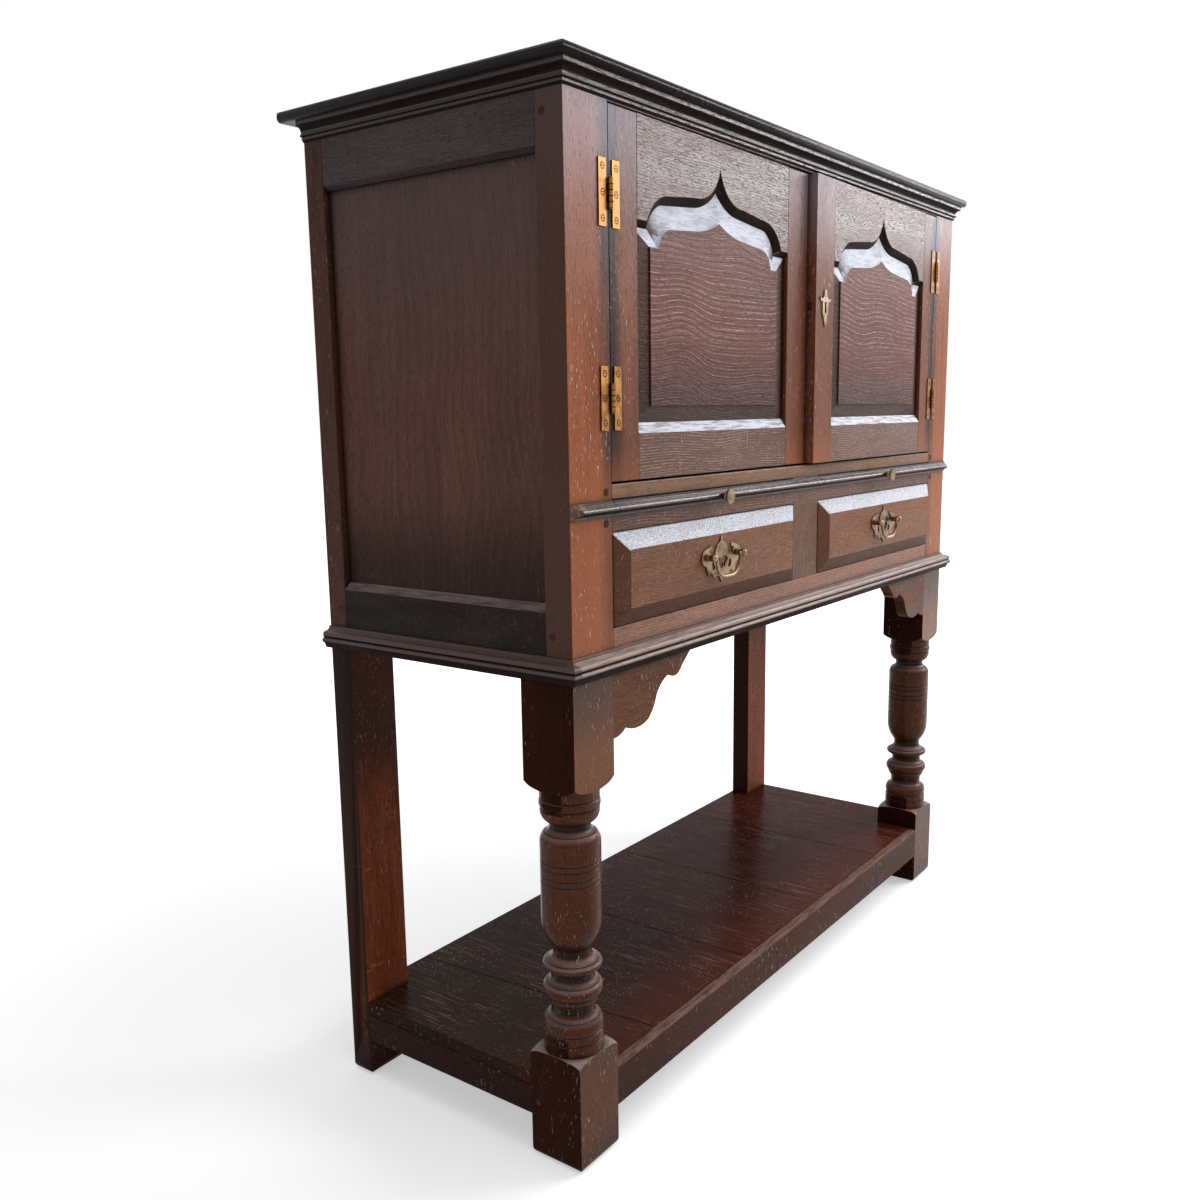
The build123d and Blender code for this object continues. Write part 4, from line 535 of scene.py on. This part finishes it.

# In these finishes wax_and_painted_sheen paints a sky sheen with the wax on up-facing slopes,
# underside_shade paints shade on down-facing slopes, and side_shade paints shade on left and right faces.
WOODS = {material.name: material for material in (
    oak("stile_oak", "Z", STILE, 0.0, (0.26, 0.38), 0.12, 0.55, marks=0.9, side_shade=PAINTED_SIDE_SHADE,
        figure=hinge_stain_and_top_sheen),
    oak("muntin_oak", "Z", MUNTIN, 1.0, specular=0.12),
    oak("door_stile_oak", "Z", DOOR_STILE, 2.0, (0.26, 0.4), 0.1, marks=0.7,
        figure=hinge_stain_and_top_sheen),
    oak("rail_oak", "X", shade(RAIL, 1.2, 1.1, 1.0), 4.0, specular=0.13, marks=0.4,
        figure=rail_ripple),
    oak("low_rail_oak", "X", tone(154, 108, 88), 4.5, specular=0.13, marks=0.5,
        figure=rail_ripple),
    oak("bracket_oak", "X", tone(102, 62, 40), 5.0, specular=0.05, marks=0.5),
    oak("door_rail_oak", "X", RAIL, 6.0, (0.24, 0.36), 0.28, 0.5, marks=0.4, glints=0.45,
        wax_and_painted_sheen=0.9, underside_shade=0.9, figure=rail_ripple),
    oak("door_foot_oak", "X", tone(112, 76, 60), 6.5, (0.26, 0.38), 0.14, 0.5, marks=0.5,
        glints=0.5, wax_and_painted_sheen=0.9, underside_shade=0.9, figure=rail_ripple),
    panel_oak("left_panel_oak", "left_door_panel"),
    panel_oak("right_panel_oak", "right_door_panel"),
    oak("drawer_oak", "X", DRAWER, 10.0, specular=0.1, marks=0.4, glints=0.4, wax_and_painted_sheen=0.97,
        wax_and_sheen_grain=(620.0, 420.0), wax_and_sheen_least=0.4, figure=drawer_ripple_and_left_shade),
    oak("sill_oak", "X", SILL, 12.0, specular=0.14, marks=0.3, arris=0.8),
    oak("nosing_oak", "X", tone(74, 50, 40), 13.0, (0.14, 0.22), 0.3, 0.35, marks=0.4,
        glints=0.1, relief=0.0002, figure=rubbed_ends),
    oak("moulding_oak", "X", tone(98, 62, 46), 14.0, (0.18, 0.28), 0.3, 0.4, marks=0.5,
        glints=0.3, wax_and_painted_sheen=0.45, wax_and_sheen_tone=(196, 172, 160), wax_and_sheen_least=0.4, relief=0.0003,
        side_shade=tone(46, 22, 16)),
    oak("cornice_oak", "X", tone(80, 52, 43), 15.0, (0.18, 0.3), 0.2, 0.4, marks=0.3,
        glints=0.1, wax_and_painted_sheen=0.1, side_shade=tone(64, 54, 54), relief=0.0003),
    # A darker oak for faces that look down: painted shade, with grime.
    oak("underside_shade_oak", "X", tone(38, 25, 20), 15.5, (0.5, 0.7), 0.04, marks=0.1, glints=0.0),
    # A darker oak for the drawer fronts' down-facing bevels: painted shade.
    oak("bevel_shade_oak", "X", tone(98, 66, 50), 15.7, (0.34, 0.5), 0.04, marks=0.2, underside_shade=0.2,
        figure=drawer_ripple_and_left_shade),
    oak("peg_oak", "Z", tone(58, 38, 31), 15.9, specular=0.06, marks=0.1),
    oak("side_upright_oak", "Z", tone(76, 47, 38), 16.0, specular=0.06, contrast=0.7,
        marks=0.3, glints=0.15),
    oak("side_rail_oak", "Y", tone(74, 63, 64), 18.0, specular=0.05, contrast=0.4,
        marks=0.1, glints=0.05, wax_and_painted_sheen=0.4, wax_and_sheen_tone=(170, 150, 148), wax_and_sheen_least=0.4,
        figure=side_rail_darker_low),
    oak("side_panel_oak", "Z", SIDE, 20.0, (0.24, 0.34), 0.06, 0.35, marks=0.1,
        glints=0.05, figure=side_rings_and_top_sheen),
    oak("leg_oak", "Z", LEG, 24.0, (0.16, 0.28), 0.09, marks=0.5, glints=0.2, relief=0.0003,
        figure=turned_hollows_and_highlights),
    # A darker oak for the sideways faces of the legs' blocks: painted shade.
    oak("leg_side_shade_oak", "Z", tone(50, 21, 8), 25.0, specular=0.02, marks=0.3, glints=0.1),
    oak("rear_leg_oak", "Z", REAR, 26.0, specular=0.03, contrast=0.8, marks=0.25,
        side_shade=tone(30, 17, 11), figure=rear_leg_rays),
    oak("board_oak", "Y", BOARD, 28.0, (0.16, 0.3), 0.02, marks=0.5, glints=0.1, corner_shade_and_dirt_share=0.7,
        figure=board_scratches),
    oak("board_rail_oak", "X", tone(66, 36, 22), 30.0, specular=0.04, marks=0.5,
        glints=0.3, wax_and_painted_sheen=0.4, wax_and_sheen_tone=(168, 136, 122), arris=0.9),
    oak("board_side_oak", "Y", tone(46, 26, 18), 32.0, specular=0.03, marks=0.4),
    oak("slab_oak", "X", SLAB, 34.0, (0.3, 0.44), 0.1, marks=0.4, glints=0.1,
        side_shade=tone(28, 25, 26)),
    oak("inside_oak", "X", INSIDE, 36.0, (0.55, 0.75), 0.1, marks=0.2),
    oak("inside_upright_oak", "Z", INSIDE, 38.0, (0.55, 0.75), 0.1, marks=0.2),
)}
HINGE_BRASS = brass("hinge_brass_gold", tone(138, 94, 48), (0.3, 0.44), 0.95, 0.9, screw_dirt)
OLD_BRASS = brass("old_brass_worn", tone(128, 108, 84), (0.26, 0.42), 0.9)
IRON = brass("lock_iron_dark", tone(58, 55, 52), (0.5, 0.7), 0.6)


# ---------------------------------------------------------------- pieces made from the frame's own solids
SHARP_ARRIS = math.radians(28)
SMOOTH_BEND = math.radians(24)
NEARLY_FLAT = math.radians(0.4)
SAME_POINT = 2e-6


def soften_arrises(bm, width):
    """Round over the sharp outer edges, and mark the new faces as arrises."""
    bmesh.ops.dissolve_limit(bm, angle_limit=NEARLY_FLAT, verts=bm.verts, edges=bm.edges)
    loose = {v for e in bm.edges if len(e.link_faces) != 2 for v in e.verts}
    sharp = [e for e in bm.edges
             if len(e.link_faces) == 2 and e.is_convex and e.calc_face_angle() > SHARP_ARRIS
             and e.calc_length() > 3 * width and not (set(e.verts) & loose)]
    made = bmesh.ops.bevel(bm, geom=sharp, offset=width, offset_type="OFFSET", affect="EDGES", segments=2,
                           profile=0.5, material=-1, clamp_overlap=True)
    arris = bm.faces.layers.float.new("arris")
    for face in made["faces"]:
        if face.is_valid:
            face[arris] = 1.0


def smooth_bends(bm):
    """Shade turned and moulded faces smooth, and keep flats flat."""
    flat = {f for f in bm.faces if max(abs(v) for v in f.normal) > 0.99999 and f.calc_area() > 1e-4}
    for edge in bm.edges:
        edge.smooth = (len(edge.link_faces) == 2 and edge.calc_face_angle() < SMOOTH_BEND
                       and not flat & set(edge.link_faces))
    for face in bm.faces:
        face.smooth = True


def worn_copy(node, material, width, second=None, faces=None):
    """A copy of a node with its arrises rounded over, or only shaded smooth if width is 0. Where a
    second finish is given, faces says which faces have it."""
    bm = bmesh.new()
    bm.from_mesh(NODES[node].data)
    bmesh.ops.remove_doubles(bm, verts=bm.verts, dist=SAME_POINT)
    if width:
        soften_arrises(bm, width)
    else:
        smooth_bends(bm)
    if second:
        for face in bm.faces:
            if faces(face):
                face.material_index = 1
    mesh = bpy.data.meshes.new(node + "_worn")
    bm.to_mesh(mesh)
    bm.free()
    mesh.materials.append(material)
    if second:
        mesh.materials.append(second)
    piece = bpy.data.objects.new(node + "_worn", mesh)
    scene.collection.objects.link(piece)
    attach(piece, BODY_OF[node])
    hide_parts(node)


def underside(face):
    """Slopes and flats that face down."""
    return face.normal.z < -0.2


def block_side(face):
    """The faces of a leg's blocks that look sideways."""
    return abs(face.normal.x) > 0.9 and abs(face.calc_center_median().z - LEG_MIDDLE) > 0.15


def refinish(node, material):
    """The finish of a node that keeps its own shape."""
    mesh = NODES[node].data
    for index in range(len(mesh.materials)):
        mesh.materials[index] = material


# Each piece's finish and the width of its rounded arrises, 0 where they stay sharp
FRONT_PIECES = {
    "front_stiles": ("stile_oak", 0.0012),
    "head_rail": ("rail_oak", 0.0006),
    "door_sill_rail": ("sill_oak", 0.0014),
    "drawer_top_rail": ("rail_oak", 0.0008),
    "drawer_bottom_rail": ("low_rail_oak", 0.0008),
    "drawer_muntin": ("muntin_oak", 0.0008),
    "slide_divider": ("sill_oak", 0.0005),
    "leg_brackets": ("bracket_oak", 0.0012),
    "stand_rails": ("rail_oak", 0.0006),
    "frame_pegs": ("peg_oak", 0.0),
    "left_door_hinge_stile": ("door_stile_oak", 0.0009),
    "left_door_meeting_stile": ("door_stile_oak", 0.0014),
    "left_door_bottom_rail": ("door_foot_oak", 0.0009),
    "left_door_panel": ("left_panel_oak", 0.0005),
    "right_door_hinge_stile": ("door_stile_oak", 0.0009),
    "right_door_meeting_stile": ("door_stile_oak", 0.0014),
    "right_door_bottom_rail": ("door_foot_oak", 0.0009),
    "right_door_panel": ("right_panel_oak", 0.0005),
}
# The same, then the second finish and the faces that have it; each second finish is a darker oak, painted
# shade on the faces that look down, and on the sideways faces of the legs' blocks
TWO_FINISHES = {
    "front_leg_left": ("leg_oak", 0.0, "leg_side_shade_oak", block_side),
    "front_leg_right": ("leg_oak", 0.0, "leg_side_shade_oak", block_side),
    "waist_moulding": ("nosing_oak", 0.0, "underside_shade_oak", underside),
    "base_moulding": ("moulding_oak", 0.0, "underside_shade_oak", underside),
    "cornice_moulding": ("cornice_oak", 0.0, "underside_shade_oak", underside),
    "left_slide_board": ("nosing_oak", 0.0, "underside_shade_oak", underside),
    "right_slide_board": ("nosing_oak", 0.0, "underside_shade_oak", underside),
    "left_door_top_rail": ("door_rail_oak", 0.0007, "underside_shade_oak", underside),
    "left_drawer_front": ("drawer_oak", 0.0014, "bevel_shade_oak", underside),
    "right_drawer_front": ("drawer_oak", 0.0014, "bevel_shade_oak", underside),
    "right_door_top_rail": ("door_rail_oak", 0.0007, "underside_shade_oak", underside),
}
DARK_PIECES = {
    "top_board": ("slab_oak", 0.0008),
    "rear_stiles": ("side_upright_oak", 0.0009),
    "side_rails": ("side_rail_oak", 0.0007),
    "side_panels": ("side_panel_oak", 0.0),
    "rear_legs": ("rear_leg_oak", 0.0022),
    "potboard_front_rear_rails": ("board_rail_oak", 0.0014),
    "potboard_side_rails": ("board_side_oak", 0.001),
    "potboard_boards": ("board_oak", 0.0007),
}
INSIDE_PIECES = {
    "cupboard_floor": ("inside_oak", 0.0),
    "inner_shelf": ("inside_oak", 0.0),
    "shelf_cleats": ("inside_oak", 0.0),
    "back_boards": ("inside_upright_oak", 0.0),
    "back_rails": ("inside_oak", 0.0),
    "inner_bearers": ("inside_oak", 0.0),
    "left_drawer_box": ("inside_oak", 0.0005),
    "left_drawer_bottom": ("inside_oak", 0.0),
    "right_drawer_box": ("inside_oak", 0.0005),
    "right_drawer_bottom": ("inside_oak", 0.0),
}
for slot, pieces in (("oak_front", FRONT_PIECES), ("oak_dark", DARK_PIECES), ("oak_inside", INSIDE_PIECES)):
    for node, (wood, width) in pieces.items():
        if width:
            worn_copy(node, WOODS[wood], width)
        else:
            refinish(node, WOODS[wood])
for node, (wood, width, second, faces) in TWO_FINISHES.items():
    worn_copy(node, WOODS[wood], width, WOODS[second], faces)
METAL_PIECES = (
    (HINGE_BRASS, ("hinge_case_leaves", "left_door_hinge_leaves", "right_door_hinge_leaves")),
    (OLD_BRASS, ("left_slide_knob", "left_drawer_handle", "left_drawer_bail", "right_slide_knob",
                 "right_drawer_handle", "right_drawer_bail", "right_door_escutcheon")),
    (IRON, ("right_door_lock_case", "right_door_lock_bolt")),
)
for metal, nodes in METAL_PIECES:
    for node in nodes:
        refinish(node, metal)


# ---------------------------------------------------------------- studio
SKY_COLOUR = (0.94, 0.97, 1.0)
WHITE = (1.0, 1.0, 1.0, 1.0)


def lamp(name, place, target, width, height, power):
    """A soft rectangular lamp at place, turned to target."""
    data = bpy.data.lights.new(name, "AREA")
    data.shape = "RECTANGLE"
    data.size = width
    data.size_y = height
    data.energy = power
    data.color = SKY_COLOUR
    light = bpy.data.objects.new(name, data)
    light.location = place
    light.rotation_mode = "QUATERNION"
    light.rotation_quaternion = (Vector(target) - Vector(place)).to_track_quat("-Z", "Y")
    scene.collection.objects.link(light)


lamp("sky_front", (3.4, -2.15, 2.75), (0.0, 0.0, 0.9), 3.4, 2.1, 180.0)
lamp("sky_over", (-0.4, -0.6, 4.2), (0.0, 0.0, 0.8), 3.0, 3.0, 60.0)
lamp("fill_left", (-3.4, 0.6, 1.8), (0.0, 0.0, 0.6), 2.0, 2.0, 8.0)


def white_surround(strength):
    """A world that lights with strength and is plain white where it is seen."""
    world = bpy.data.worlds.new("studio")
    scene.world = world
    air = Nodes(world)
    glow = air.ramp(air.seen_directly(), 0.0, 1.0, strength, 1.0)
    surround = air.add("Background", {"Color": WHITE, "Strength": glow})
    air.add("OutputWorld", {"Surface": surround.outputs[0]})


def pale_floor(half_width):
    """A floor that keeps the shadow near the feet and fades to white from there."""
    paving = Finish("pale_floor")
    away = paving.add("VectorMath", {0: paving.place}, operation="LENGTH").outputs["Value"]
    lit = paving.times(paving.seen_directly(), paving.ramp(away, 0.9, 2.6, 0.45, 1.0))
    paving.output({"Base Color": (0.8, 0.8, 0.8, 1.0), "Roughness": 0.85, "Specular IOR Level": 0.1,
                   "Emission Color": WHITE, "Emission Strength": lit})
    bm = bmesh.new()
    bmesh.ops.create_grid(bm, x_segments=1, y_segments=1, size=half_width)
    mesh = bpy.data.meshes.new("floor")
    bm.to_mesh(mesh)
    bm.free()
    mesh.materials.append(paving.material)
    floor = bpy.data.objects.new("floor", mesh)
    scene.collection.objects.link(floor)


white_surround(0.32)
pale_floor(14.0)
